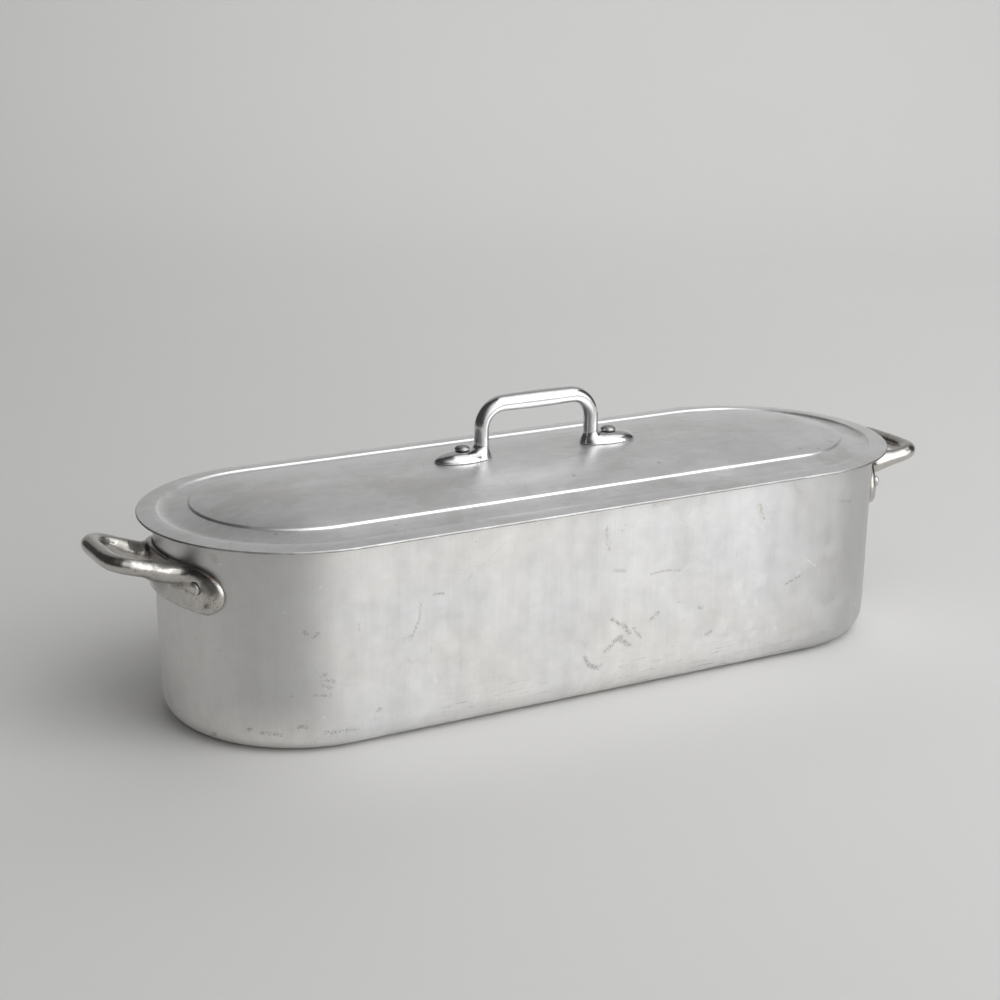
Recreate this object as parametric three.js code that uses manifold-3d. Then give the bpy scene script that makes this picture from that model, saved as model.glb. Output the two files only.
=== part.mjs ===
// Fish kettle: a long pan with round ends, a dished lid, riveted handles and a lift-out drainer.
// Millimetres. +X runs along the pan and +Z is up, from the middle of the flat underside.

import * as THREE from 'three';
import { mergeVertices } from 'three/addons/utils/BufferGeometryUtils.js';
import Module from 'manifold-3d';

const wasm = await Module();
wasm.setup();

// Pan
const bodyLength = 600;
const bodyWidth = 207;
const bodyHeight = 152.2;
const wallThickness = 2.5;
const baseThickness = 3;
const wallDraft = 2.3;
const baseFillet = 18;

// Clearances between neighbours
const seatGap = 0.3;
const shankGap = 0.3;
const eyeGap = 0.4;

// Lid
const lidOverhang = 11.2;
const lidThickness = 1.5;
const flangeDroop = 1.5;
const ledgeMargin = 0.8;
const dishDepth = 2;
const dishRun = 8;
const channelWidth = 14;
const channelRise = 3.5;
const stepHeight = 2.3;
const stepRun = 1.5;
const crownHeight = 10.2;
const crownFlatHalf = 13.5;

// Handle on the lid
const lidHandleOffset = 2.3;
const legSpacing = 95.8;
const gripHeight = 40.3;
const gripDepth = 9.8;
const gripWidth = 12.8;
const gripCorner = 17;
const footLength = 43;
const footWidth = 25;
const footHeight = 7.2;
const footHeel = 1.3;
const footFlatMargin = 0.8;

// Handles on the ends
const plateHeight = 31.5;
const plateHalfWidth = 62;
const plateThickness = 4;
const plateDrop = 35.8;
const loopReach = 41;
const loopHalfWidth = 41;
const loopRootHalfWidth = 27;
const loopRootDepth = 3.6;
const loopCorner = 17;
const loopRise = 17;
const loopRootLift = 3;
const loopWidth = 12.8;
const loopDepth = 10.6;
const fairingAngle = 16;
const fairingLength = 38;
const fairingHeight = 17;
const fairingDepth = 13;
const rivetAngle = 26;
const spotfaceMargin = 1.2;

// Drainer
const drainerMargin = 1;
const drainerSheet = 1.5;
const drainerHeight = 16;
const drainerBend = 3;
const perforationDiameter = 9;
const perforationPitch = 34;
const perforationRowPitch = 26;
const perforationEdge = 9;
const perforationLugMargin = 1;

// Wire handles of the drainer
const wireDiameter = 5;
const bailSpan = 76;
const bailReach = 76;
const bailCorner = 15;
const bailInset = 40;
const pinCorner = 5;
const pinOvershoot = 3;
const lugWidth = 10;
const lugStrap = 1.5;
const lugTab = 15;

// Rivets: head, shank and closed tail
const lidRivet = { head: 11, headHeight: 3, shank: 6, tail: 9, tailHeight: 2.2 };
const sideRivet = { head: 14, headHeight: 3, shank: 6, tail: 8.4, tailHeight: 2 };
const lugRivet = { head: 7, headHeight: 1.6, shank: 3.6, tail: 6, tailHeight: 1.2 };

// Facets
const outlineColumns = 60;
const rivetColumns = 10;
const rodSides = 10;
const wireSides = 8;
const bowSteps = 34;
const loopSteps = 32;
const bailSteps = 48;
const filletSteps = 4;
const easeSteps = 3;
const domeSteps = 3;
const crownSteps = 3;

// Sizes worked out from the ones above
const rimRadius = bodyWidth / 2;
const halfStraight = bodyLength / 2 - rimRadius;
const plateMiddleHeight = bodyHeight - plateDrop;
const floorRadius = rimRadius - wallDraft - wallThickness;
const innerFillet = Math.max(baseFillet - wallThickness, 1);
const lidSeat = bodyHeight + seatGap;
const channelFloor = lidSeat + lidThickness - dishDepth;
const panelRim = channelFloor + channelRise + stepHeight;
const crownTop = panelRim + crownHeight;
const footSeat = crownTop + seatGap;
const footMiddle = legSpacing / 2 - gripDepth / 2 - footHeel + footLength / 2;
const drainerRadius = floorRadius - innerFillet - drainerMargin;
const drainerFoot = baseThickness + seatGap;
const drainerTop = drainerFoot + drainerHeight;
const eyeRadius = wireDiameter / 2 + eyeGap;
const eyeOuter = eyeRadius + lugStrap;
const pivotX = halfStraight + drainerRadius - bailInset;
const pivotZ = drainerTop + seatGap + eyeOuter;
const lugMiddle = bailSpan / 2 + pinCorner + eyeGap + lugWidth / 2;

// A flat rivet head in the round wall stands off by the wall's bow and lean under it
const rivetWallRadius = wallRadius(plateMiddleHeight) - wallThickness;
const rivetBow = rivetWallRadius - Math.sqrt(rivetWallRadius ** 2 - (sideRivet.head / 2) ** 2);
const rivetSeatSink = rivetBow + ((sideRivet.head / 2) * wallDraft) / bodyHeight;
const sideGrip = rivetSeatSink + wallThickness + seatGap + plateThickness;

// Finishes

function metal(color, roughness) {
  return new THREE.MeshStandardMaterial({ color, roughness, metalness: 1 });
}

const brushedAluminium = metal(0xc9cacb, 0.42);
const lidAluminium = metal(0xb9bcbd, 0.38);
const polishedPlate = metal(0xd6d7d9, 0.12);
const tinnedIron = metal(0xa9a49c, 0.26);
const rivetMetal = metal(0x9c9b99, 0.4);
const wireSteel = metal(0xc2c3c4, 0.3);

// Solids: closed meshes that can be joined and cut

function weld(geometry) {
  const bare = geometry.index ? geometry.toNonIndexed() : geometry.clone();
  bare.deleteAttribute('normal');
  bare.deleteAttribute('uv');
  const merged = mergeVertices(bare, 1e-4);
  const index = merged.index.array;
  const kept = [];
  for (let i = 0; i < index.length; i += 3) {
    const [a, b, c] = [index[i], index[i + 1], index[i + 2]];
    if (a !== b && b !== c && c !== a) {
      kept.push(a, b, c);
    }
  }
  merged.setIndex(kept);
  return merged;
}

function toSolid(geometry) {
  const merged = weld(geometry);
  return new wasm.Manifold(new wasm.Mesh({
    numProp: 3,
    vertProperties: new Float32Array(merged.attributes.position.array),
    triVerts: new Uint32Array(merged.index.array),
  }));
}

function toGeometry(solid) {
  const mesh = solid.getMesh();
  const geometry = new THREE.BufferGeometry();
  geometry.setAttribute('position', new THREE.BufferAttribute(mesh.vertProperties, 3));
  geometry.setIndex(new THREE.BufferAttribute(mesh.triVerts, 1));
  return geometry;
}

function joinAll(solids) {
  return solids.reduce((joined, solid) => joined.add(solid));
}

// A turned profile stretched into a racetrack: half of its columns move out along each way of X.
// Points are [radius, height], anticlockwise, from the axis to the axis or closed on themselves.
function racetrack(points) {
  const profile = points.map(([radius, height]) => new THREE.Vector2(radius, height));
  const geometry = new THREE.LatheGeometry(profile, outlineColumns, Math.PI / outlineColumns);
  geometry.rotateX(Math.PI / 2);
  const position = geometry.attributes.position;
  for (let i = 0; i < position.count; i += 1) {
    const column = Math.floor(i / profile.length) % outlineColumns;
    const side = column < outlineColumns / 2 ? 1 : -1;
    position.setX(i, position.getX(i) + side * halfStraight);
  }
  return geometry;
}

function arc(centre, radius, from, to, steps) {
  const points = [];
  for (let i = 0; i <= steps; i += 1) {
    const angle = THREE.MathUtils.degToRad(from + ((to - from) * i) / steps);
    points.push([centre[0] + radius * Math.cos(angle), centre[1] + radius * Math.sin(angle)]);
  }
  return points;
}

// A soft S from one point to another, without its first point
function ease([fromRadius, fromHeight], [toRadius, toHeight], steps) {
  const points = [];
  for (let i = 1; i <= steps; i += 1) {
    const share = (1 - Math.cos((Math.PI * i) / steps)) / 2;
    const radius = THREE.MathUtils.lerp(fromRadius, toRadius, i / steps);
    points.push([radius, THREE.MathUtils.lerp(fromHeight, toHeight, share)]);
  }
  return points;
}

// A quarter oval from the rim of a round head to its top
function dome(rim, flat, height, steps) {
  return arc([0, 0], 1, 0, 90, steps).map(([along, rise]) => [flat + (rim - flat) * along, height * rise]);
}

// The same line moved down and in by the sheet's thickness, mitred at its corners
function offsetLine(points, distance) {
  const normals = points.slice(1).map(([r, z], i) => {
    const [dr, dz] = [r - points[i][0], z - points[i][1]];
    const length = Math.hypot(dr, dz);
    return [-dz / length, dr / length];
  });
  return points.map(([r, z], i) => {
    const before = normals[Math.max(i - 1, 0)];
    const after = normals[Math.min(i, normals.length - 1)];
    const scale = distance / (1 + before[0] * after[0] + before[1] * after[1]);
    return [r + (before[0] + after[0]) * scale, z + (before[1] + after[1]) * scale];
  });
}

function wallRadius(height) {
  return rimRadius - wallDraft * (1 - height / bodyHeight);
}

function roundedPath(points, corner) {
  const path = new THREE.CurvePath();
  let from = points[0];
  for (let i = 1; i < points.length - 1; i += 1) {
    const radius = corner[i - 1];
    const entry = points[i].clone().add(points[i - 1].clone().sub(points[i]).setLength(radius));
    const exit = points[i].clone().add(points[i + 1].clone().sub(points[i]).setLength(radius));
    path.add(new THREE.LineCurve3(from, entry));
    path.add(new THREE.QuadraticBezierCurve3(entry, points[i], exit));
    from = exit;
  }
  path.add(new THREE.LineCurve3(from, points[points.length - 1]));
  return path;
}

function oval(widthAcross, widthAlong, sides) {
  const shape = new THREE.Shape();
  for (let i = 0; i < sides; i += 1) {
    const angle = (2 * Math.PI * (i + 0.5)) / sides;
    const [x, y] = [(widthAcross / 2) * Math.cos(angle), (widthAlong / 2) * Math.sin(angle)];
    if (i === 0) {
      shape.moveTo(x, y);
    } else {
      shape.lineTo(x, y);
    }
  }
  shape.closePath();
  return shape;
}

function rod(section, path, steps) {
  return new THREE.ExtrudeGeometry(section, { steps, extrudePath: path, curveSegments: 1 });
}

// A rivet along +Y: its head's seat is at the origin, and its tail closes below the grip
function rivet(size, grip) {
  const shank = size.shank / 2;
  const tailTop = -grip - seatGap;
  const head = dome(size.head / 2, 0, size.headHeight, domeSteps);
  const tail = dome(size.tail / 2, 0, size.tailHeight, domeSteps);
  const profile = [
    ...tail.map(([radius, depth]) => [radius, tailTop - depth]).reverse(),
    [shank, tailTop],
    [shank, seatGap],
    ...head.map(([radius, height]) => [radius, seatGap + height]),
  ];
  const points = profile.map(([radius, height]) => new THREE.Vector2(radius, height));
  return new THREE.LatheGeometry(points, rivetColumns);
}

function drill(size, length) {
  return new THREE.CylinderGeometry(size.shank / 2 + shankGap, size.shank / 2 + shankGap, length, rivetColumns);
}

function turnTo(geometry, direction, position) {
  const turn = new THREE.Quaternion().setFromUnitVectors(new THREE.Vector3(0, 1, 0), direction);
  geometry.applyQuaternion(turn);
  geometry.translate(position.x, position.y, position.z);
  return geometry;
}

const kettle = new THREE.Group();
const up = new THREE.Vector3(0, 0, 1);
const ends = [['left', -1], ['right', 1]];
const sides = [['front', -1], ['rear', 1]];

function addPart(name, geometry, material) {
  const mesh = new THREE.Mesh(geometry, material);
  mesh.name = name;
  kettle.add(mesh);
}

// Where a side handle's rivet goes through the end wall
function sideRivetPlace(side, across) {
  const angle = THREE.MathUtils.degToRad(rivetAngle) * across;
  const outward = new THREE.Vector3(side * Math.cos(angle), Math.sin(angle), 0);
  const place = outward.clone().multiplyScalar(rivetWallRadius - rivetSeatSink);
  place.x += side * halfStraight;
  place.z = plateMiddleHeight;
  return { outward, place };
}

function sideDrills() {
  const tools = [];
  for (const [, side] of ends) {
    for (const [, across] of sides) {
      const { outward, place } = sideRivetPlace(side, across);
      const middle = place.clone().addScaledVector(outward, sideGrip / 2);
      tools.push(toSolid(turnTo(drill(sideRivet, sideGrip * 3), outward, middle)));
    }
  }
  return joinAll(tools);
}

// Flat seats for the closed tails on the handle's outer face
function tailSeats(side) {
  const radius = sideRivet.tail / 2 + spotfaceMargin;
  const depth = 2 * fairingDepth;
  const tools = sides.map(([, across]) => {
    const { outward, place } = sideRivetPlace(side, across);
    const middle = place.clone().addScaledVector(outward, sideGrip + depth / 2);
    const seat = new THREE.CylinderGeometry(radius, radius, depth, 2 * rivetColumns);
    return toSolid(turnTo(seat, outward, middle));
  });
  return joinAll(tools);
}

// Pan: one deep-drawn sheet

function panShell() {
  const footRadius = rimRadius - wallDraft;
  const profile = [
    [0, 0],
    ...arc([footRadius - baseFillet, baseFillet], baseFillet, -90, 0, filletSteps),
    [rimRadius, bodyHeight],
    [rimRadius - wallThickness, bodyHeight],
    ...arc([floorRadius - innerFillet, baseThickness + innerFillet], innerFillet, 0, -90, filletSteps),
    [0, baseThickness],
  ];
  return toSolid(racetrack(profile));
}

const drills = sideDrills();
addPart('kettle_body', toGeometry(panShell().subtract(drills)), brushedAluminium);

// Lid: one pressed sheet with a drooping flange, a channel inside the rim and a crowned panel

function lidTopLine() {
  const ledgeTop = lidSeat + lidThickness;
  const ledgeIn = [rimRadius - wallThickness - ledgeMargin, ledgeTop];
  const channelOut = [ledgeIn[0] - dishRun, channelFloor];
  const channelIn = [channelOut[0] - channelWidth, channelFloor + channelRise];
  const panelEdge = [channelIn[0] - stepRun, panelRim];
  const line = [
    [rimRadius + lidOverhang, ledgeTop - flangeDroop],
    [rimRadius + ledgeMargin, ledgeTop],
    ledgeIn,
    ...ease(ledgeIn, channelOut, easeSteps),
    channelIn,
    ...ease(channelIn, panelEdge, 1),
  ];
  for (let i = 1; i <= crownSteps; i += 1) {
    const along = i / crownSteps;
    const radius = THREE.MathUtils.lerp(panelEdge[0], crownFlatHalf, along);
    line.push([radius, crownTop - crownHeight * (1 - along) ** 2]);
  }
  return line;
}

function lidDrills() {
  const tools = ends.map(([, side]) => {
    const middle = new THREE.Vector3(lidHandleOffset + side * footMiddle, 0, crownTop);
    return toSolid(turnTo(drill(lidRivet, footHeight * 4), up, middle));
  });
  return joinAll(tools);
}

function lidShell() {
  const top = lidTopLine();
  const under = offsetLine(top, lidThickness);
  under[0] = [top[0][0], top[0][1] - lidThickness];
  const profile = [[0, crownTop - lidThickness], ...under.reverse(), ...top, [0, crownTop]];
  return toSolid(racetrack(profile));
}

const lidHoles = lidDrills();
addPart('lid_shell', toGeometry(lidShell().subtract(lidHoles)), lidAluminium);

// Handle on the lid: a bow on two oval feet

function footPad(side) {
  const flat = (lidRivet.head + 2 * footFlatMargin) / footWidth;
  const profile = [[0, 0], ...dome(1, flat, footHeight, filletSteps), [0, footHeight]];
  const points = profile.map(([radius, height]) => new THREE.Vector2(radius, height));
  const geometry = new THREE.LatheGeometry(points, 2 * rivetColumns);
  geometry.rotateX(Math.PI / 2);
  geometry.scale(footLength / 2, footWidth / 2, 1);
  geometry.translate(lidHandleOffset + side * footMiddle, 0, footSeat);
  return geometry;
}

function lidBow() {
  const top = crownTop + gripHeight;
  const legX = legSpacing / 2;
  const points = [
    new THREE.Vector3(lidHandleOffset - legX, 0, footSeat),
    new THREE.Vector3(lidHandleOffset - legX, 0, top),
    new THREE.Vector3(lidHandleOffset + legX, 0, top),
    new THREE.Vector3(lidHandleOffset + legX, 0, footSeat),
  ];
  const path = roundedPath(points, [gripCorner, gripCorner]);
  return rod(oval(gripWidth, gripDepth, rodSides), path, bowSteps);
}

const lidHandle = joinAll([lidBow(), footPad(-1), footPad(1)].map(toSolid)).subtract(lidHoles);
addPart('lid_handle', toGeometry(lidHandle), polishedPlate);

for (const [end, side] of ends) {
  const seat = new THREE.Vector3(lidHandleOffset + side * footMiddle, 0, footSeat + footHeight);
  const grip = footHeight + seatGap + lidThickness;
  addPart(`lid_rivet_${end}`, turnTo(rivet(lidRivet, grip), up, seat), rivetMetal);
}

// Handles on the ends: a plate that hugs the wall and a rising loop

// The pan's outer wall made larger, for a solid or a ring round it
function wallEnvelope(margin, low, high) {
  return toSolid(racetrack([
    [0, low],
    [wallRadius(low) + margin, low],
    [wallRadius(high) + margin, high],
    [0, high],
  ]));
}

function loopPath(side) {
  const root = halfStraight + Math.sqrt(rimRadius ** 2 - loopRootHalfWidth ** 2) - loopRootDepth;
  const tip = bodyLength / 2 + loopReach;
  const points = [
    new THREE.Vector3(root, -loopRootHalfWidth, 0),
    new THREE.Vector3(tip, -loopHalfWidth, 0),
    new THREE.Vector3(tip, loopHalfWidth, 0),
    new THREE.Vector3(root, loopRootHalfWidth, 0),
  ];
  const plan = roundedPath(points, [loopCorner, loopCorner]);
  const path = new THREE.Curve();
  path.getPoint = (t) => {
    const point = plan.getPoint(t);
    const left = 1 - (point.x - root) / (tip - root);
    point.z = plateMiddleHeight + loopRootLift + loopRise * (1 - left * left);
    point.x *= side;
    return point;
  };
  return path;
}

function fairing(side, across) {
  const angle = THREE.MathUtils.degToRad(fairingAngle) * across * side;
  const geometry = new THREE.SphereGeometry(1, rodSides, rodSides);
  geometry.scale(fairingDepth / 2, fairingLength / 2, fairingHeight / 2);
  geometry.translate(wallRadius(plateMiddleHeight) + seatGap + plateThickness / 2, 0, 0);
  geometry.rotateZ(angle);
  geometry.translate(halfStraight, 0, plateMiddleHeight + loopRootLift);
  if (side < 0) {
    geometry.rotateZ(Math.PI);
  }
  return geometry;
}

function sideHandle(side) {
  const low = plateMiddleHeight - plateHeight / 2;
  const high = plateMiddleHeight + plateHeight / 2;
  const inner = wallEnvelope(seatGap, low - plateHeight, high + plateHeight);
  const outer = wallEnvelope(seatGap + plateThickness, low - plateThickness, high + plateThickness);
  const outline = new THREE.Shape();
  const round = plateHeight / 2;
  outline.absarc(plateHalfWidth - round, 0, round, -Math.PI / 2, Math.PI / 2);
  outline.absarc(round - plateHalfWidth, 0, round, Math.PI / 2, (3 * Math.PI) / 2);
  const reach = rimRadius + 2 * plateThickness;
  const settings = { depth: reach, bevelEnabled: false, curveSegments: wireSides };
  const prism = new THREE.ExtrudeGeometry(outline, settings);
  prism.rotateX(Math.PI / 2);
  prism.rotateZ(Math.PI / 2);
  prism.translate(side > 0 ? halfStraight : -halfStraight - reach, 0, plateMiddleHeight);
  const plate = outer.intersect(toSolid(prism));
  const loop = toSolid(rod(oval(loopWidth, loopDepth, rodSides), loopPath(side), loopSteps));
  const fairings = sides.map(([, across]) => toSolid(fairing(side, across)));
  const body = joinAll([plate, loop, ...fairings]);
  return body.subtract(inner).subtract(drills).subtract(tailSeats(side));
}

for (const [end, side] of ends) {
  addPart(`side_handle_${end}`, toGeometry(sideHandle(side)), tinnedIron);
  for (const [face, across] of sides) {
    const { outward, place } = sideRivetPlace(side, across);
    const inward = outward.clone().negate();
    addPart(`side_rivet_${end}_${face}`, turnTo(rivet(sideRivet, sideGrip), inward, place), rivetMetal);
  }
}

// Drainer: a perforated tray on its own turned-down edge

function lugRivetPlace(side, across) {
  const x = pivotX + eyeOuter + (lugTab - eyeOuter) / 2;
  return new THREE.Vector3(side * x, across * lugMiddle, drainerTop);
}

function perforations() {
  const holes = [];
  const radius = perforationDiameter / 2;
  const keep = drainerRadius - perforationEdge - radius;
  const rows = Math.floor(keep / perforationRowPitch);
  const columns = Math.ceil((halfStraight + keep) / perforationPitch);
  const lugSpot = lugRivetPlace(1, 1);
  const lugReach = radius + Math.hypot(lugTab, lugWidth) / 2 + perforationLugMargin;
  for (let row = -rows; row <= rows; row += 1) {
    const shift = row % 2 === 0 ? 0 : perforationPitch / 2;
    for (let column = -columns; column <= columns; column += 1) {
      const x = column * perforationPitch + shift;
      const y = row * perforationRowPitch;
      const past = Math.max(Math.abs(x) - halfStraight, 0);
      const byLug = Math.hypot(Math.abs(x) - lugSpot.x, Math.abs(y) - lugSpot.y) < lugReach;
      if (Math.hypot(past, y) < keep && !byLug) {
        const hole = new THREE.CylinderGeometry(radius, radius, drainerSheet * 4, wireSides);
        holes.push(toSolid(turnTo(hole, up, new THREE.Vector3(x, y, drainerTop))));
      }
    }
  }
  return joinAll(holes);
}

function drainerTray() {
  const inside = drainerRadius - drainerSheet;
  const innerBend = drainerBend - drainerSheet;
  const profile = [
    [0, drainerTop - drainerSheet],
    ...arc([inside - innerBend, drainerTop - drainerSheet - innerBend], innerBend, 90, 0, 2),
    [inside, drainerFoot],
    [drainerRadius, drainerFoot],
    ...arc([drainerRadius - drainerBend, drainerTop - drainerBend], drainerBend, 0, 90, 3),
    [0, drainerTop],
  ];
  return toSolid(racetrack(profile));
}

function lugDrills() {
  const tools = [];
  for (const [, side] of ends) {
    for (const [, across] of sides) {
      const place = lugRivetPlace(side, across);
      tools.push(toSolid(turnTo(drill(lugRivet, drainerSheet * 8), up, place)));
    }
  }
  return joinAll(tools);
}

const lugHoles = lugDrills();
const tray = drainerTray().subtract(perforations()).subtract(lugHoles);
addPart('drainer_tray', toGeometry(tray), lidAluminium);

// Lug: a strap curled round the wire's end, with a tab riveted to the tray

function lug(side, across) {
  const meet = Math.sqrt(eyeOuter ** 2 - (eyeOuter - lugStrap) ** 2);
  const start = Math.atan2(lugStrap - eyeOuter, meet);
  const outline = new THREE.Shape();
  outline.moveTo(lugTab, 0);
  outline.lineTo(lugTab, lugStrap);
  outline.lineTo(meet, lugStrap);
  outline.absarc(0, eyeOuter, eyeOuter, start, (3 * Math.PI) / 2);
  const eye = new THREE.Path();
  eye.absarc(0, eyeOuter, eyeRadius, 0, 2 * Math.PI);
  outline.holes.push(eye);
  const settings = { depth: lugWidth, bevelEnabled: false, curveSegments: wireSides };
  const geometry = new THREE.ExtrudeGeometry(outline, settings);
  geometry.translate(0, 0, -lugWidth / 2);
  geometry.rotateX(Math.PI / 2);
  if (side < 0) {
    geometry.rotateZ(Math.PI);
  }
  const place = lugRivetPlace(side, across);
  geometry.translate(side * pivotX, place.y, drainerTop + seatGap);
  return toSolid(geometry).subtract(lugHoles);
}

function bail(side) {
  const half = bailSpan / 2;
  const pinEnd = lugMiddle + lugWidth / 2 + pinOvershoot;
  const gripX = side * (pivotX - bailReach);
  const gripZ = drainerTop + seatGap + wireDiameter / 2;
  const points = [
    new THREE.Vector3(side * pivotX, -pinEnd, pivotZ),
    new THREE.Vector3(side * pivotX, -half, pivotZ),
    new THREE.Vector3(gripX, -half, gripZ),
    new THREE.Vector3(gripX, half, gripZ),
    new THREE.Vector3(side * pivotX, half, pivotZ),
    new THREE.Vector3(side * pivotX, pinEnd, pivotZ),
  ];
  const path = roundedPath(points, [pinCorner, bailCorner, bailCorner, pinCorner]);
  return rod(oval(wireDiameter, wireDiameter, wireSides), path, bailSteps);
}

for (const [end, side] of ends) {
  addPart(`drainer_handle_${end}`, bail(side), wireSteel);
  for (const [face, across] of sides) {
    addPart(`drainer_lug_${end}_${face}`, toGeometry(lug(side, across)), lidAluminium);
    const seat = lugRivetPlace(side, across);
    seat.z += seatGap + lugStrap;
    const grip = lugStrap + seatGap + drainerSheet;
    addPart(`drainer_rivet_${end}_${face}`, turnTo(rivet(lugRivet, grip), up, seat), rivetMetal);
  }
}

export default kettle;
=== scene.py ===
# Fish kettle: the looks of a long aluminium pan with a pressed lid, cast handles and a lift-out drainer.
# Metres, in the frame of the CAD model: X along the pan, Y across it, Z up from its flat underside.
import math

import bmesh
import bpy
import numpy as np
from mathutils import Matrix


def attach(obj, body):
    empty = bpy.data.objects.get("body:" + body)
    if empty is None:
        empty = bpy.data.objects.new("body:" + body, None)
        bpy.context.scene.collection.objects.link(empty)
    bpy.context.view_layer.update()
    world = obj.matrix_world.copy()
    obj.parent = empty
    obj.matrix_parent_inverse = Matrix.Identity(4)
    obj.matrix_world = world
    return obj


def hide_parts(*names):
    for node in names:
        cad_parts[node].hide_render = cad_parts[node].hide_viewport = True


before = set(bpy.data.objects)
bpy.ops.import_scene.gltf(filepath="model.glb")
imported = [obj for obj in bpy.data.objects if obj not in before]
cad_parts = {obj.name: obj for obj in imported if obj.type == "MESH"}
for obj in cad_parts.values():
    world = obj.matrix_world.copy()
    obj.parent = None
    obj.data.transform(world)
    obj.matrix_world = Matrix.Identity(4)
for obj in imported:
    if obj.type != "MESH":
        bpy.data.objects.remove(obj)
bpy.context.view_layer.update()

import openvdb
from mathutils import Matrix, Vector

scene = bpy.context.scene
mm = 0.001


# Node trees: sockets that can be added and multiplied, and one call for each node

class Value:
    def __init__(self, socket):
        self.socket = socket
        self.tree = socket.id_data

    def __add__(self, other):
        return calc("ADD", self, other)

    def __sub__(self, other):
        return calc("SUBTRACT", self, other)

    def __rsub__(self, other):
        return calc("SUBTRACT", other, self)

    def __mul__(self, other):
        return calc("MULTIPLY", self, other)

    def __truediv__(self, other):
        return calc("DIVIDE", self, other)

    def __rtruediv__(self, other):
        return calc("DIVIDE", other, self)


def connect(value, socket):
    if isinstance(value, Value):
        value.tree.links.new(value.socket, socket)
    else:
        socket.default_value = value


def put(tree, kind, links=None, **settings):
    node = tree.nodes.new(kind)
    for name, value in settings.items():
        setattr(node, name, value)
    for name, value in (links or {}).items():
        connect(value, node.inputs[name])
    return node


def out(tree, kind, links=None, which=0, **settings):
    return Value(put(tree, kind, links, **settings).outputs[which])


def outs(tree, kind, links=None, **settings):
    return {socket.name: Value(socket) for socket in put(tree, kind, links, **settings).outputs}


def calc(operation, *values, clamp=False):
    tree = next(value.tree for value in values if isinstance(value, Value))
    return out(tree, "ShaderNodeMath", dict(enumerate(values)), operation=operation, use_clamp=clamp)


def vectorCalc(operation, first, second, which=0):
    return out(first.tree, "ShaderNodeVectorMath", {0: first, 1: second}, which, operation=operation)


def newGroup(name, kind, inputs, outputs):
    tree = bpy.data.node_groups.new(name, kind)
    for side, sockets in (("INPUT", inputs), ("OUTPUT", outputs)):
        for socket, data in sockets.items():
            tree.interface.new_socket(name=socket, in_out=side, socket_type="NodeSocket" + data)
    return tree, outs(tree, "NodeGroupInput")


# Objects and meshes

def tell(words):
    print("kettle:", words, flush=True)


def addObject(name, data):
    piece = bpy.data.objects.new(name, data)
    scene.collection.objects.link(piece)
    return piece


def meshFrom(name, points, faces=(), edges=()):
    mesh = bpy.data.meshes.new(name)
    mesh.from_pydata([tuple(map(float, point)) for point in points], edges, faces)
    mesh.update()
    return mesh


def bake(piece):
    # Turns what the modifiers make into the piece's own plain mesh
    graph = bpy.context.evaluated_depsgraph_get()
    evaluated = piece.evaluated_get(graph)
    mesh = bpy.data.meshes.new_from_object(evaluated, preserve_all_data_layers=True, depsgraph=graph)
    piece.modifiers.clear()
    old = piece.data
    piece.data = mesh
    bpy.data.meshes.remove(old)
    mesh.name = piece.name
    return piece


def grow(piece, tree, **values):
    # Runs a geometry node tree on the piece, its inputs set by identifier, and bakes it
    modifier = piece.modifiers.new(tree.name, "NODES")
    modifier.node_group = tree
    for item in tree.interface.items_tree:
        if item.item_type == "SOCKET" and item.in_out == "INPUT" and item.name in values:
            modifier[item.identifier] = values[item.name]
    return bake(piece)


def faceOutward(mesh):
    # Merges the points that lie on each other and turns all faces outward
    work = bmesh.new()
    work.from_mesh(mesh)
    bmesh.ops.remove_doubles(work, verts=work.verts, dist=0.01 * mm)
    bmesh.ops.recalc_face_normals(work, faces=work.faces)
    work.to_mesh(mesh)
    work.free()


def smooth(piece, degrees):
    piece.data.shade_smooth()
    piece.data.set_sharp_from_angle(angle=math.radians(degrees))


def settle(piece, body, replaced):
    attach(piece, body)
    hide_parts(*replaced)
    tell(f"{piece.name}: {len(piece.data.polygons)} faces, rides on {body}")


# Outlines of turned and pressed sheets, as (radius, height) in millimetres

def curved(start, corner, end, steps):
    line = []
    for step in range(steps + 1):
        share = step / steps
        line.append(start.lerp(corner, share).lerp(corner.lerp(end, share), share))
    return line


def rounded(corners, steps=4):
    # Each corner is (radius, height) or (radius, height, size of its rounding)
    points = [Vector(corner[:2]) for corner in corners]
    line = [points[0]]
    for i in range(1, len(points) - 1):
        size = corners[i][2] if len(corners[i]) > 2 else 0
        if size == 0:
            line.append(points[i])
            continue
        before = points[i - 1] - points[i]
        after = points[i + 1] - points[i]
        start = points[i] + before.normalized() * min(size, before.length * 0.49)
        end = points[i] + after.normalized() * min(size, after.length * 0.49)
        line += curved(start, points[i], end, steps)
    line.append(points[-1])
    return [(point.x, point.y) for point in line]


def offsetLine(points, distance):
    points = [Vector(point) for point in points]
    normals = []
    for before, after in zip(points, points[1:]):
        way = (after - before).normalized()
        normals.append(Vector((-way.y, way.x)))
    line = []
    for i, point in enumerate(points):
        first = normals[max(i - 1, 0)]
        second = normals[min(i, len(normals) - 1)]
        line.append(point + (first + second) * (distance / (1 + first.dot(second))))
    return [(point.x, point.y) for point in line]


def arc(centre, radius, start, end, steps):
    points = []
    for i in range(steps + 1):
        angle = math.radians(start + (end - start) * i / steps)
        points.append((centre[0] + radius * math.cos(angle), centre[1] + radius * math.sin(angle)))
    return points


# The pan's sizes that its neighbours share, in millimetres

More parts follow.
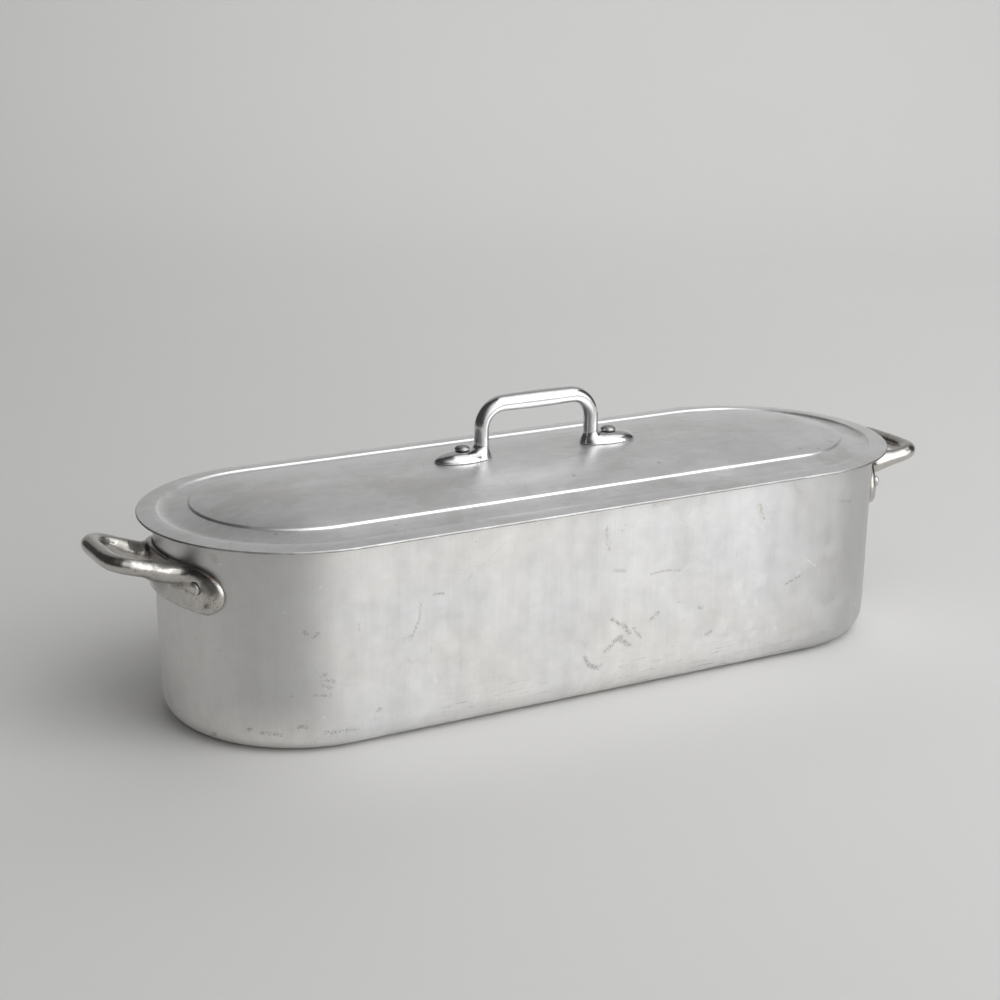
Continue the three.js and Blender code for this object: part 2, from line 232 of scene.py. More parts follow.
pan = {
    "length": 600,
    "width": 207,
    "height": 152.2,
    "wall": 2.5,
    "base": 3,
    "draft": 2.3,
    "fillet": 18,
    "lip": 0.9,
    "wallSteps": 16,
    "columns": 192,
    "straightCuts": 95,
    "plateDrop": 35.8,
    "clearance": 0.3,
}
gap = pan["clearance"]
rimRadius = pan["width"] / 2
halfStraight = pan["length"] / 2 - rimRadius
plateHeight = pan["height"] - pan["plateDrop"]


def wallRadius(height):
    return rimRadius - pan["draft"] * (1 - height / pan["height"])


# Geometry nodes: a round-ended sweep, a row of rivets and a perforated tray

def shapeGroup(name, **inputs):
    inputs = {"Geometry": "Geometry", **inputs, "Material": "Material"}
    tree, given = newGroup(name, "GeometryNodeTree", inputs, {"Geometry": "Geometry"})
    tree.is_modifier = True
    return tree, given


def closeGroup(tree, shape, material):
    real = out(tree, "GeometryNodeRealizeInstances", {"Geometry": shape})
    painted = out(tree, "GeometryNodeSetMaterial", {"Geometry": real, "Material": material})
    put(tree, "NodeGroupOutput", {"Geometry": painted})
    return tree


def sweptRound(tree, track, profile):
    line = out(tree, "GeometryNodeMeshToCurve", {"Mesh": profile})
    swept = out(tree, "GeometryNodeCurveToMesh", {"Curve": track, "Profile Curve": line})
    return out(tree, "GeometryNodeMergeByDistance", {"Geometry": swept, "Distance": 0.005 * mm})


def roundEndedSweep():
    # A small ring is pulled apart into two half rounds, and its two long edges are cut up
    tree, given = shapeGroup("roundEndedSweep", **{
        "Half Straight": "Float",
        "Columns": "Int",
        "Straight Cuts": "Int",
    })
    columns = given["Columns"]
    ring = out(tree, "GeometryNodeCurvePrimitiveCircle", {"Resolution": columns, "Radius": mm})
    turn = out(tree, "ShaderNodeCombineXYZ", {"Z": math.pi / columns})
    turned = out(tree, "GeometryNodeTransform", {"Geometry": ring, "Rotation": turn})
    across = out(tree, "ShaderNodeSeparateXYZ", {0: out(tree, "GeometryNodeInputPosition")})
    move = out(tree, "ShaderNodeCombineXYZ", {"X": calc("SIGN", across) * given["Half Straight"]})
    track = out(tree, "GeometryNodeSetPosition", {"Geometry": turned, "Offset": move})
    number = calc("MODULO", out(tree, "GeometryNodeInputIndex") + 1, columns / 2)
    cuts = calc("COMPARE", number, columns / 4, 0.1) * given["Straight Cuts"]
    cut = out(tree, "GeometryNodeSubdivideCurve", {"Curve": track, "Cuts": cuts})
    return closeGroup(tree, sweptRound(tree, cut, given["Geometry"]), given["Material"])


def rivetRow():
    # One turned rivet on each point of the host mesh, along the point's aim
    tree, given = shapeGroup("rivetRow", Profile="Object", Sides="Int")
    shape = out(tree, "GeometryNodeObjectInfo", {"Object": given["Profile"]}, "Geometry")
    ring = out(tree, "GeometryNodeCurvePrimitiveCircle", {"Resolution": given["Sides"], "Radius": mm})
    rivet = sweptRound(tree, ring, shape)
    seats = out(tree, "GeometryNodeMeshToPoints", {"Mesh": given["Geometry"]})
    aim = out(tree, "GeometryNodeInputNamedAttribute", {"Name": "aim"}, data_type="FLOAT_VECTOR")
    lean = out(tree, "FunctionNodeAlignRotationToVector", {"Vector": aim}, axis="Z")
    row = out(tree, "GeometryNodeInstanceOnPoints", {"Points": seats, "Instance": rivet, "Rotation": lean})
    return closeGroup(tree, row, given["Material"])


def perforate():
    # A round hole at each point of another mesh
    tree, given = shapeGroup("perforate", Holes="Object", Diameter="Float", Depth="Float", Sides="Int")
    spots = out(tree, "GeometryNodeObjectInfo", {"Object": given["Holes"]}, "Geometry")
    points = out(tree, "GeometryNodeMeshToPoints", {"Mesh": spots})
    punch = out(tree, "GeometryNodeMeshCylinder", {
        "Vertices": given["Sides"],
        "Radius": given["Diameter"] / 2,
        "Depth": given["Depth"],
    })
    row = out(tree, "GeometryNodeInstanceOnPoints", {"Points": points, "Instance": punch})
    tools = out(tree, "GeometryNodeRealizeInstances", {"Geometry": row})
    links = {0: given["Geometry"], 1: tools}
    cut = out(tree, "GeometryNodeMeshBoolean", links, operation="DIFFERENCE", solver="EXACT")
    return closeGroup(tree, cut, given["Material"])


sweepTree = roundEndedSweep()
rivetTree = rivetRow()
perforateTree = perforate()


def profileMesh(name, profile):
    # The profile runs against the clock, from the axis to the axis. The trees sweep it round a ring of 1 mm
    line = [((radius - 1) * mm, -height * mm, 0) for radius, height in reversed(profile)]
    return meshFrom(name, line, edges=[(i, i + 1) for i in range(len(line) - 1)])


def sweptPiece(name, profile, material, columns, cuts):
    return grow(addObject(name, profileMesh(name, profile)), sweepTree, **{
        "Half Straight": halfStraight * mm,
        "Columns": columns,
        "Straight Cuts": cuts,
        "Material": material,
    })


def rivetPiece(name, profile, seats, aims, sides, material):
    # The rivet's profile has its head's seat at height zero and its shank below
    shape = addObject(name + "_profile", profileMesh(name + "_profile", profile))
    mesh = meshFrom(name, [Vector(seat) * mm for seat in seats])
    aim = mesh.attributes.new("aim", "FLOAT_VECTOR", "POINT")
    for item, way in zip(aim.data, aims):
        item.vector = way
    piece = grow(addObject(name, mesh), rivetTree, Profile=shape, Sides=sides, Material=material)
    bpy.data.objects.remove(shape)
    smooth(piece, 40)
    return piece


def rivetProfile(size, grip):
    # A domed head, a shank and a closed tail with a shallow ring round its middle
    half = size["shank"] / 2
    head = size["head"] / 2
    tail = size["tail"] / 2
    top = gap + size["headHeight"]
    low = -grip - gap
    end = low - size["tailHeight"]
    return rounded([
        (0, end),
        (tail * 0.58, end, 0.3),
        (tail * 0.66, end + size["ring"], 0.2),
        (tail * 0.74, end + 0.1, 0.3),
        (tail, low - size["tailHeight"] * 0.7, 0.5),
        (tail, low, 0.3),
        (half, low, 0.1),
        (half, gap, 0.1),
        (head, gap, 0.3),
        (head * 0.98, gap + size["headHeight"] * 0.35, 0.8),
        (head * 0.72, gap + size["headHeight"] * 0.86, 1.4),
        (head * 0.3, top, 1.2),
        (0, top),
    ])


# Shader values

def levels(value, low, high, start=0.0, end=1.0):
    return out(value.tree, "ShaderNodeMapRange", {
        "Value": value,
        "From Min": low,
        "From Max": high,
        "To Min": start,
        "To Max": end,
    }, interpolation_type="SMOOTHSTEP")


def cloud(vector, scale, detail=3.0, rough=0.5, which=0):
    links = {"Vector": vector, "Scale": scale, "Detail": detail, "Roughness": rough}
    return out(vector.tree, "ShaderNodeTexNoise", links, which)


def squeezed(place, scale):
    return out(place.tree, "ShaderNodeMapping", {"Vector": place, "Scale": scale})


def streaks(place, scale, detail=3.0, rough=0.5):
    # A noise that is longer or shorter each way
    return cloud(squeezed(place, scale), 1.0, detail, rough)


def axesOf(place):
    return list(outs(place.tree, "ShaderNodeSeparateXYZ", {0: place}).values())


def reachOf(place):
    # How far a place lies from the line between the middles of the two round ends, seen from above
    x, y, z = axesOf(place)
    past = calc("MAXIMUM", calc("ABSOLUTE", x) - halfStraight * mm, 0.0)
    return calc("POWER", past * past + y * y, 0.5)


def grimeIn(place, reach, lit, full):
    # Dirt in the corners, from bare metal to full dirt as the light that gets there falls
    links = {"Distance": reach * mm}
    light = out(place.tree, "ShaderNodeAmbientOcclusion", links, "AO", samples=6, only_local=True)
    return levels(light, lit, full)


def grey(value, warmth=0.0):
    return (value + warmth, value, value - warmth, 1.0)


def colorFrom(red, green, blue):
    return out(green.tree, "ShaderNodeCombineColor", {0: red, 1: green, 2: blue})


def blend(share, first, second):
    links = {0: share, 6: first, 7: second}
    return out(share.tree, "ShaderNodeMix", links, 2, data_type="RGBA", clamp_factor=True)


def layered(color, layers):
    # Each layer has a mask, how strongly it covers, and its paint
    for mask, share, paint in layers:
        color = blend(mask if share == 1 else mask * share, color, paint)
    return color


# Shader groups shared by the metals

def brushGroup():
    # Long strokes of a brush: give it coordinates already squeezed across the strokes
    inputs = {"Vector": "Vector", "Fine": "Float", "Broad": "Float"}
    tree, given = newGroup("brushStrokes", "ShaderNodeTree", inputs, {"Tone": "Float", "Height": "Float"})
    fine = (cloud(given["Vector"], 1.0, 3.0, 0.6) - 0.5) * given["Fine"]
    far = vectorCalc("MULTIPLY", given["Vector"], (0.09, 0.09, 0.5))
    broad = (cloud(far, 1.0, 4.0, 0.55) - 0.5) * given["Broad"]
    put(tree, "NodeGroupOutput", {"Tone": fine + broad, "Height": fine})
    return tree


def spotGroup():
    # Scattered round spots: some of the cells of a pattern, each with its own size
    inputs = {"Vector": "Vector", "Scale": "Float", "Share": "Float", "Size": "Float"}
    tree, given = newGroup("scatteredSpots", "ShaderNodeTree", inputs, {"Mask": "Float"})
    cells = outs(tree, "ShaderNodeTexVoronoi", {"Vector": given["Vector"], "Scale": given["Scale"]})
    chance = outs(tree, "ShaderNodeSeparateColor", {0: cells["Color"]})
    kept = calc("LESS_THAN", chance["Red"], given["Share"])
    reach = given["Size"] * (chance["Green"] + 0.25)
    near = calc("SUBTRACT", 1.0, cells["Distance"] / reach, clamp=True)
    put(tree, "NodeGroupOutput", {"Mask": kept * calc("POWER", near, 0.6)})
    return tree


def scratchGroup():
    # Thin crossing scratches: the lines between stretched, bent cells, broken up by a noise
    inputs = {"Vector": "Vector", "Scale": "Float", "Width": "Float", "Share": "Float"}
    tree, given = newGroup("fineScratches", "ShaderNodeTree", inputs, {"Mask": "Float"})
    bend = vectorCalc("MULTIPLY", cloud(given["Vector"], 14.0, 2.0, which=1), (0.02, 0.02, 0.02))
    bent = vectorCalc("ADD", given["Vector"], bend)
    masks = []
    for turn in ((0.3, 0.2, 0.9), (-0.5, 0.4, -0.6)):
        lean = out(tree, "ShaderNodeMapping", {"Vector": bent, "Rotation": turn, "Scale": (1.0, 0.35, 2.2)})
        cells = {"Vector": lean, "Scale": given["Scale"]}
        edge = out(tree, "ShaderNodeTexVoronoi", cells, "Distance", feature="DISTANCE_TO_EDGE")
        line = calc("SUBTRACT", 1.0, edge / given["Width"], clamp=True)
        shown = cloud(lean, 22.0, 2.0) - (0.72 - given["Share"] * 0.3)
        masks.append(line * calc("MULTIPLY", shown, 9.0, clamp=True))
    put(tree, "NodeGroupOutput", {"Mask": calc("MAXIMUM", *masks)})
    return tree


brushStrokes = brushGroup()
scatteredSpots = spotGroup()
fineScratches = scratchGroup()


def useGroup(group, vector, **values):
    return outs(vector.tree, "ShaderNodeGroup", {"Vector": vector, **values}, node_tree=group)


def brushed(vector, fine, broad):
    return useGroup(brushStrokes, vector, Fine=fine, Broad=broad)


def spots(vector, scale, share, size):
    return useGroup(scatteredSpots, vector, Scale=scale, Share=share, Size=size)["Mask"]


def scratched(vector, scale, width, share):
    return useGroup(fineScratches, vector, Scale=scale, Width=width, Share=share)["Mask"]


def newMaterial(name, fixed=None):
    # Gives the material and the place in the object's own coordinates
    material = bpy.data.materials.new(name)
    material.use_nodes = True
    tree = material.node_tree
    tree.nodes.clear()
    shader = out(tree, "ShaderNodeBsdfPrincipled", fixed or {"Metallic": 1.0})
    put(tree, "ShaderNodeOutputMaterial", {"Surface": shader})
    return material, out(tree, "ShaderNodeTexCoord", which="Object")


def paint(material, **values):
    shader = material.node_tree.nodes["Principled BSDF"]
    for name, value in values.items():
        connect(value, shader.inputs[name.replace("_", " ")])


def finished(material, color, rough, height, depth, strength):
    # The bump's depth is in millimetres
    bump = out(color.tree, "ShaderNodeBump", {"Height": height, "Distance": depth * mm, "Strength": strength})
    paint(material, Base_Color=color, Roughness=rough, Normal=bump)
    return material


# Marks on the pan's front wall in millimetres: from (x, z) to (x, z), width and strength

panMarks = {
    "dark": [
        (-14, 36, -10, 29, 2.6, 0.75), (-10, 29, -3, 26, 3.0, 0.8), (-3, 26, 1, 28, 2.0, 0.5),
        (4, 38, 10, 42, 2.6, 0.6), (11, 44, 17, 47, 3.4, 0.75), (17, 44, 25, 39, 3.2, 0.7),
        (9, 62, 15, 57, 2.2, 0.7), (19, 56, 25, 48, 2.6, 0.65), (28, 52, 35, 43, 1.4, 0.5),
        (43, 56, 50, 61, 2.0, 0.5), (94, 35, 99, 37, 2.2, 0.6), (87, 58, 90, 58, 1.8, 0.5),
        (68, 65, 70, 65, 1.6, 0.5), (9, 100, 20, 98, 1.4, 0.45), (42, 92, 53, 93, 1.4, 0.45),
        (53, 93, 68, 91, 1.4, 0.45), (167, 64, 181, 69, 1.4, 0.5), (215, 124, 230, 121, 1.4, 0.55),
        (-149, 100, -150, 90, 1.0, 0.45), (-150, 89, -157, 75, 1.3, 0.45), (-140, 106, -131, 105, 1.2, 0.45),
        (-196, 94, -196, 89, 1.2, 0.45), (-234, 92, -232, 90, 1.6, 0.6), (-228, 88, -225, 90, 1.8, 0.6),
        (-224, 59, -220, 60, 1.6, 0.5), (-222, 56, -215, 54, 1.8, 0.5), (-223, 52, -215, 49, 1.6, 0.45),
        (-228, 45, -217, 44, 1.2, 0.5), (-268, 18, -266, 19, 1.6, 0.6), (-260, 17, -249, 16, 2.0, 0.5),
        (-238, 22, -234, 22, 2.6, 0.65), (-220, 16, -198, 16, 2.6, 0.5), (-182, 26, -180, 28, 2.0, 0.55),
        (-298, 24, -298, 19, 1.6, 0.5), (-283, 7, -283, 10, 1.8, 0.6),
    ],
    "pale": [
        (-138, 45, -137, 40, 3.0, 0.6), (131, 114, 133, 112, 2.6, 0.6), (76, 133, 78, 130, 2.4, 0.5),
        (139, 55, 141, 50, 2.4, 0.6), (158, 30, 160, 28, 2.2, 0.6), (178, 70, 180, 72, 2.0, 0.6),
        (140, 116, 144, 112, 2.0, 0.5), (52, 79, 77, 94, 1.0, 0.5), (186, 81, 195, 75, 1.2, 0.45),
    ],
    "brown": [
        (2, 133, 4, 117, 3.0, 0.5), (138, 132, 143, 120, 4.0, 0.5), (170, 144, 176, 137, 4.0, 0.4),
        (42, 146, 55, 146, 3.4, 0.45), (-283, 143, -282, 139, 2.4, 0.7), (-162, 76, -156, 79, 3.0, 0.4),
    ],
}


def strokes(place, wobble, marks):
    # The strongest of the marks: each is a short soft stroke in the plane of the front wall
    total = None
    for startX, startZ, endX, endZ, width, strength in marks:
        along = Vector((endX - startX, 0, endZ - startZ)) * mm
        away = vectorCalc("SUBTRACT", place, (startX * mm, 0, startZ * mm))
        share = vectorCalc("DOT_PRODUCT", away, along / along.length_squared, "Value")
        share = calc("ADD", share, 0.0, clamp=True)
        near = out(place.tree, "ShaderNodeVectorMath", {0: along, "Scale": share}, operation="SCALE")
        distance = wobble + vectorCalc("DISTANCE", away, near, "Value")
        mask = levels(distance, 0.0, (0.8 * width + 0.9) * mm, strength, 0.0)
        total = mask if total is None else calc("MAXIMUM", total, mask)
    return total


def panOutside():
    material, place = newMaterial("satinPan")
    brush = brushed(squeezed(place, (620, 620, 16)), 0.5, 0.9)
    haze = streaks(place, (9, 9, 2.5), 3.0, 0.55)
    mottle = cloud(place, 75.0, 4.0, 0.6)
    x, y, z = axesOf(place)
    low = levels(z, 0.045, 0.004)
    grouped = levels(low * 0.12 + cloud(place, 26.0, 3.0, 0.6), 0.50, 0.62)
    specks = spots(place, 330.0, 0.16, 0.24) * grouped
    paleSpecks = spots(squeezed(place, (1, 1, 1.3)), 85.0, 0.17, 0.16)
    scuffs = levels(streaks(place, (45, 45, 950), 4.0, 0.65), 0.56, 0.68)
    scuffs = scuffs * (low * levels(streaks(place, (14, 14, 40)), 0.42, 0.62))
    scratches = scratched(place, 24.0, 0.0065, 0.45)
    front = calc("LESS_THAN", y, -0.02)
    flat = vectorCalc("MULTIPLY", place, (1, 0, 1))
    wobble = (cloud(place, 520.0, 4.0, 0.7) - 0.5) * (3.0 * mm)
    speckle = front * levels(cloud(place, 1150.0, 2.0, 0.6), 0.34, 0.64, 1.0, 2.0) - 1.0
    masks = {}
    for name, marks in panMarks.items():
        masks[name] = levels(strokes(flat, wobble, marks) + speckle, 0.95, 1.35, 0.0, 0.6)
    right = levels(x, 0.02, 0.16)
    stained = levels(streaks(place, (22, 22, 9), 4.0), 0.48, 0.66) * right
    bloom = levels(cloud(place, 42.0, 5.0, 0.7), 0.52, 0.64) * (right * 0.75 + 0.25)
    tone = brush["Tone"] * 0.17 + 0.835
    tone = (haze - 0.5) * 0.14 + tone
    tone = (mottle - 0.5) * 0.20 + tone
    warm = levels(streaks(place, (8, 8, 14), 3.0, 0.6) - right * 0.14, 0.30, 0.66, -0.004, 0.022)
    # Painted shade: a band round the left end and the whole right end are blended towards dark grey, standing
    # in for the weaker light that falls on the pan's ends
    leftEndShade = levels(x, -0.203, -0.238, 0.0, 0.44) * levels(x, -0.300, -0.250, 0.2, 1.0) * (1.0 - low)
    paintedEndShade = calc("MAXIMUM", levels(x, 0.11, 0.235, 0.0, 0.53), leftEndShade)
    color = layered(colorFrom(warm * 0.55 + tone, tone, tone - warm), [
        (stained, 0.42, grey(0.70, 0.02)),
        (bloom, 0.38, grey(0.97)),
        # painted shade on the pan's ends
        (paintedEndShade, 1, grey(0.36)),
        (scratches, 0.4, grey(0.52)),
        (scuffs, 0.65, grey(0.40, 0.01)),
        (specks, 0.55, grey(0.34)),
        (paleSpecks, 0.6, grey(0.97)),
        (masks["brown"], 1, (0.50, 0.44, 0.34, 1.0)),
        (masks["dark"], 1, grey(0.26)),
        (masks["pale"], 1, grey(0.98)),
    ])
    rough = (mottle - 0.5) * 0.24 + (brush["Tone"] * 0.10 + 0.47)
    rough = calc("MULTIPLY_ADD", paleSpecks, 0.2, bloom * 0.10 + rough, clamp=True)
    height = haze * 6.0 + (brush["Height"] * 0.5 - scratches)
    return finished(material, color, rough, height, 0.03, 0.6)


def panInside():
    # Limescale, dark specks and a brown tide mark
    material, place = newMaterial("dullPanInside")
    brush = brushed(squeezed(place, (300, 300, 14)), 0.6, 0.7)
    lime = levels(cloud(place, 26.0, 5.0, 0.62), 0.48, 0.7)
    specks = spots(place, 180.0, 0.22, 0.3)
    edge = streaks(place, (30, 30, 4)) * 0.018 + axesOf(place)[2]
    tide = levels(edge, 0.112, 0.118) * levels(edge, 0.126, 0.119)
    tone = brush["Tone"] * 0.22 + 0.66
    color = layered(colorFrom(tone, tone, tone), [
        (lime, 0.35, grey(0.78, 0.012)),
        (tide, 0.5, (0.47, 0.44, 0.39, 1.0)),
        (specks, 0.5, grey(0.36)),
    ])
    return finished(material, color, lime * 0.16 + 0.46, brush["Height"] - specks, 0.04, 0.6)


def lidMetal():
    material, place = newMaterial("brushedLid")
    brush = brushed(squeezed(place, (22, 560, 560)), 0.5, 0.8)
    mottle = streaks(place, (18, 30, 30), 5.0, 0.66)
    grain = streaks(place, (90, 240, 240), 4.0, 0.65)
    stains = levels(cloud(place, 15.0, 5.0, 0.68), 0.50, 0.62)
    specks = spots(place, 120.0, 0.10, 0.2)
    scratches = scratched(place, 16.0, 0.006, 0.5)
    # Painted shade: the rolled outer edge of the lid is darkened, standing in for the shade under the lip and
    # in the gap over the pan's rim
    edge = levels(reachOf(place), (rimRadius + 10.3) * mm, (rimRadius + 10.8) * mm)
    edge = edge * levels(cloud(place, 40.0, 5.0, 0.7), 0.36, 0.56, 0.65, 1.0)
    mottled = mottle - 0.5
    grained = grain - 0.5
    tone = grained * 0.16 + (mottled * 0.28 + (brush["Tone"] * 0.20 + 0.91))
    color = layered(colorFrom(tone - 0.002, tone, tone + 0.005), [
        (stains, 0.30, grey(0.66, 0.018)),
        (scratches, 0.45, grey(0.5)),
        (specks, 0.5, grey(0.42)),
        # painted shade on the lid's outer edge
        (edge, 0.85, grey(0.30, 0.01)),
    ])
    rough = grained * 0.16 + (mottled * 0.22 + 0.42)
    height = mottle * 3.0 + (brush["Height"] * 0.5 - scratches - specks)
    return finished(material, color, rough, height, 0.03, 0.5)


def polishedPlate():
    material, place = newMaterial("polishedLidHandle")
    wear = cloud(place, 90.0, 4.0, 0.6)
    pits = spots(place, 330.0, 0.12, 0.24)
    hair = scratched(place, 60.0, 0.012, 0.5)
    grime = grimeIn(place, 3, 0.75, 0.35)
    color = layered(blend(wear, grey(0.74), grey(0.88)), [
        (pits, 0.6, grey(0.3)),
        (grime, 0.5, (0.34, 0.31, 0.27, 1.0)),
    ])
    rough = grime * 0.3 + (hair * 0.12 + (wear * 0.14 + 0.08))
    height = cloud(place, 420.0, 3.0, 0.6) * 1.4 + (cloud(place, 45.0, 2.0) * 5.0 - pits)
    return finished(material, color, rough, height, 0.05, 0.5)


# Wear and one painted sheen on the end handles: place and reach in millimetres, strength, paint, and whether
# it breaks into specks

ironPaints = {
    "iron": (0.20, 0.19, 0.18, 1.0),
    "soot": (0.22, 0.20, 0.18, 1.0),
    "smoke": (0.22, 0.205, 0.19, 1.0),
    "deepRust": (0.16, 0.06, 0.02, 1.0),
    "rust": (0.26, 0.17, 0.08, 1.0),
    "paleRust": (0.28, 0.19, 0.10, 1.0),
    # pale paint for a painted sheen
    "lit": (0.86, 0.85, 0.83, 1.0),
}
ironMarks = [
    (-287.5, -58, 121, 8, 0.75, "iron", False),
    (-286.4, -59, 130.5, 4.0, 0.9, "deepRust", False),
    (-305, 2, 124, 26, 0.55, "smoke", False),
    (305, 2, 124, 26, 0.55, "smoke", False),
    (-297, -38.5, 119, 8, 0.8, "rust", True),
    (-286.5, -58, 110.5, 8, 0.8, "paleRust", True),
    # Painted sheen: pale specks on the left plate's front, standing in for a reflection
    (-292, -49, 109, 6, 0.45, "lit", True),
    (-294, 50, 121, 9, 0.7, "soot", False),
    (-286, 58, 110, 8, 0.8, "paleRust", True),
    (290, -54, 119, 9, 0.6, "soot", False),
    (297, -38, 113, 8, 0.8, "paleRust", True),
    (284, 61, 116, 10, 0.7, "soot", False),
    (298, 34, 112, 9, 0.8, "rust", True),
]


def tinnedIron():
    material, place = newMaterial("tinnedIron")
    pits = spots(place, 420.0, 0.25, 0.3)
    bigPits = spots(place, 150.0, 0.12, 0.2)
    blotch = levels(cloud(place, 70.0, 5.0, 0.65), 0.55, 0.68)
    worn = cloud(place, 120.0, 4.0, 0.6)
    grime = grimeIn(place, 4, 0.85, 0.4)
    rust = grime * levels(cloud(place, 260.0, 4.0, 0.7), 0.45, 0.62)
    # Painted shade: the top band of each plate near the wall is darkened, standing in for the dark gap under
    # the lid that it reflects
    near = levels(reachOf(place), (rimRadius + 9) * mm, (rimRadius + 4.5) * mm)
    upper = cloud(place, 160.0, 4.0, 0.6) * 0.006 + axesOf(place)[2]
    paintedTopShade = near * levels(upper, (plateHeight + 9) * mm, (plateHeight + 15) * mm)
    color = layered(blend(worn, (0.46, 0.44, 0.41, 1.0), (0.68, 0.66, 0.63, 1.0)), [
        # painted shade along the plates' tops
        (paintedTopShade, 0.75, (0.15, 0.135, 0.12, 1.0)),
        (blotch, 0.5, (0.30, 0.28, 0.25, 1.0)),
        (grime, 0.5, (0.24, 0.21, 0.17, 1.0)),
        (pits, 0.7, (0.28, 0.22, 0.15, 1.0)),
        (bigPits, 0.7, (0.16, 0.13, 0.10, 1.0)),
        (rust, 0.8, (0.22, 0.11, 0.04, 1.0)),
    ])
    ragged = (cloud(place, 210.0, 4.0, 0.7) - 0.5) * (9 * mm)
    speckle = levels(cloud(place, 800.0, 2.0, 0.6), 0.50, 0.60)
    dull = 0.0
    for *spot, reach, strength, name, speckled in ironMarks:
        away = ragged + vectorCalc("DISTANCE", place, Vector(spot) * mm, "Value")
        mask = levels(away, reach * 0.55 * mm, reach * mm, strength, 0.0)
        if speckled:
            mask = mask * speckle
        else:
            dull = mask * 0.2 + dull
        color = blend(mask, color, ironPaints[name])
    rough = rust * 0.3 + (blotch * 0.12 + (worn * 0.18 + 0.14) + dull)
    height = cloud(place, 520.0, 3.0, 0.6) + (worn * 2.4 - pits - bigPits * 2.5)
    return finished(material, color, rough, height, 0.10, 0.65)


def plainMetal(name, low, high, warmth, rough, scale, depth):
    # Rivets, wire and tray: a mottled metal with spots and dirt in its corners
    material, place = newMaterial(name)
    hammered = cloud(place, scale, 4.0, 0.6)
    spotted = spots(place, scale * 2, 0.25, 0.3)
    grime = grimeIn(place, 2, 0.85, 0.45)
    color = layered(blend(hammered, grey(low, warmth), grey(high, warmth)), [
        (spotted, 0.45, grey(low * 0.5, warmth)),
        (grime, 0.55, (0.20, 0.17, 0.14, 1.0)),
    ])
    shine = grime * 0.2 + ((hammered - 0.5) * 0.25 + rough)
    return finished(material, color, shine, hammered - spotted * 0.6, depth, 0.6)


panSatin = panOutside()
panDull = panInside()
lidSatin = lidMetal()
handlePlate = polishedPlate()
castTinned = tinnedIron()
rivetAluminium = plainMetal("hammeredRivet", 0.34, 0.54, 0.004, 0.40, 240, 0.14)
rivetTinned = plainMetal("closedRivet", 0.50, 0.80, 0.012, 0.34, 300, 0.16)
trayAluminium = plainMetal("drainerTray", 0.62, 0.74, 0.002, 0.42, 90, 0.05)
wireTinned = plainMetal("drawnWire", 0.55, 0.70, 0.003, 0.30, 160, 0.05)
tell("materials made")


# Pan

def makePan():
    wall = pan["wall"]
    base = pan["base"]
    fillet = pan["fillet"]
    top = pan["height"]
    foot = rimRadius - pan["draft"]
    inner = fillet - wall
    flatRadius = 60
    rimDepth = 3
    outside = []
    for i in range(1, pan["wallSteps"]):
        height = fillet + (top - fillet) * i / pan["wallSteps"]
        outside.append((wallRadius(height), height))
    rim = rounded([
        (rimRadius, top - rimDepth),
        (rimRadius, top, pan["lip"]),
        (rimRadius - wall, top, pan["lip"]),
        (rimRadius - wall, top - rimDepth),
    ])
    profile = [
        (0, 0),
        (flatRadius, 0),
        *arc((foot - fillet, fillet), fillet, -90, 0, 12),
        *outside,
        *rim,
        *[(radius - wall, height) for radius, height in reversed(outside)],
        *arc((foot - fillet, base + inner), inner, 0, -90, 12),
        (flatRadius, base),
        (0, base),
    ]
    piece = sweptPiece("pan", profile, panSatin, pan["columns"], pan["straightCuts"])
    piece.data.materials.append(panDull)
    for face in piece.data.polygons:
        x, y, z = face.center / mm
        reach = math.hypot(max(abs(x) - halfStraight, 0), y)
        onWall = z >= fillet and reach < wallRadius(z) - wall / 2
        onFloor = z < fillet and face.normal.z > 0.01
        if onWall or onFloor:
            face.material_index = 1
    smooth(piece, 50)
    settle(piece, "kettle", ["kettle_body"])


makePan()


# Lid

lid = {
    "overhang": 11.2,
    "sheet": 1.5,
    "droop": 1.5,
    "lipTurn": 75,
    "lipLift": 0.15,
    "ledgeMargin": 0.8,
    "dishDepth": 2.6,
    "dishSteep": (1.7, 1.8),
    "dishRun": 6.0,
    "channelWidth": 16.4,
    "channelRise": 4.9,
    "stepHeight": 1.5,
    "stepRun": 1.1,
    "crownHeight": 10.2,
    "crownFlat": 13.5,
    "crownRings": 14,
}
ledgeTop = pan["height"] + gap + lid["sheet"]
channelFloor = ledgeTop - lid["dishDepth"]
panelRim = channelFloor + lid["channelRise"] + lid["stepHeight"]
crownTop = panelRim + lid["crownHeight"]


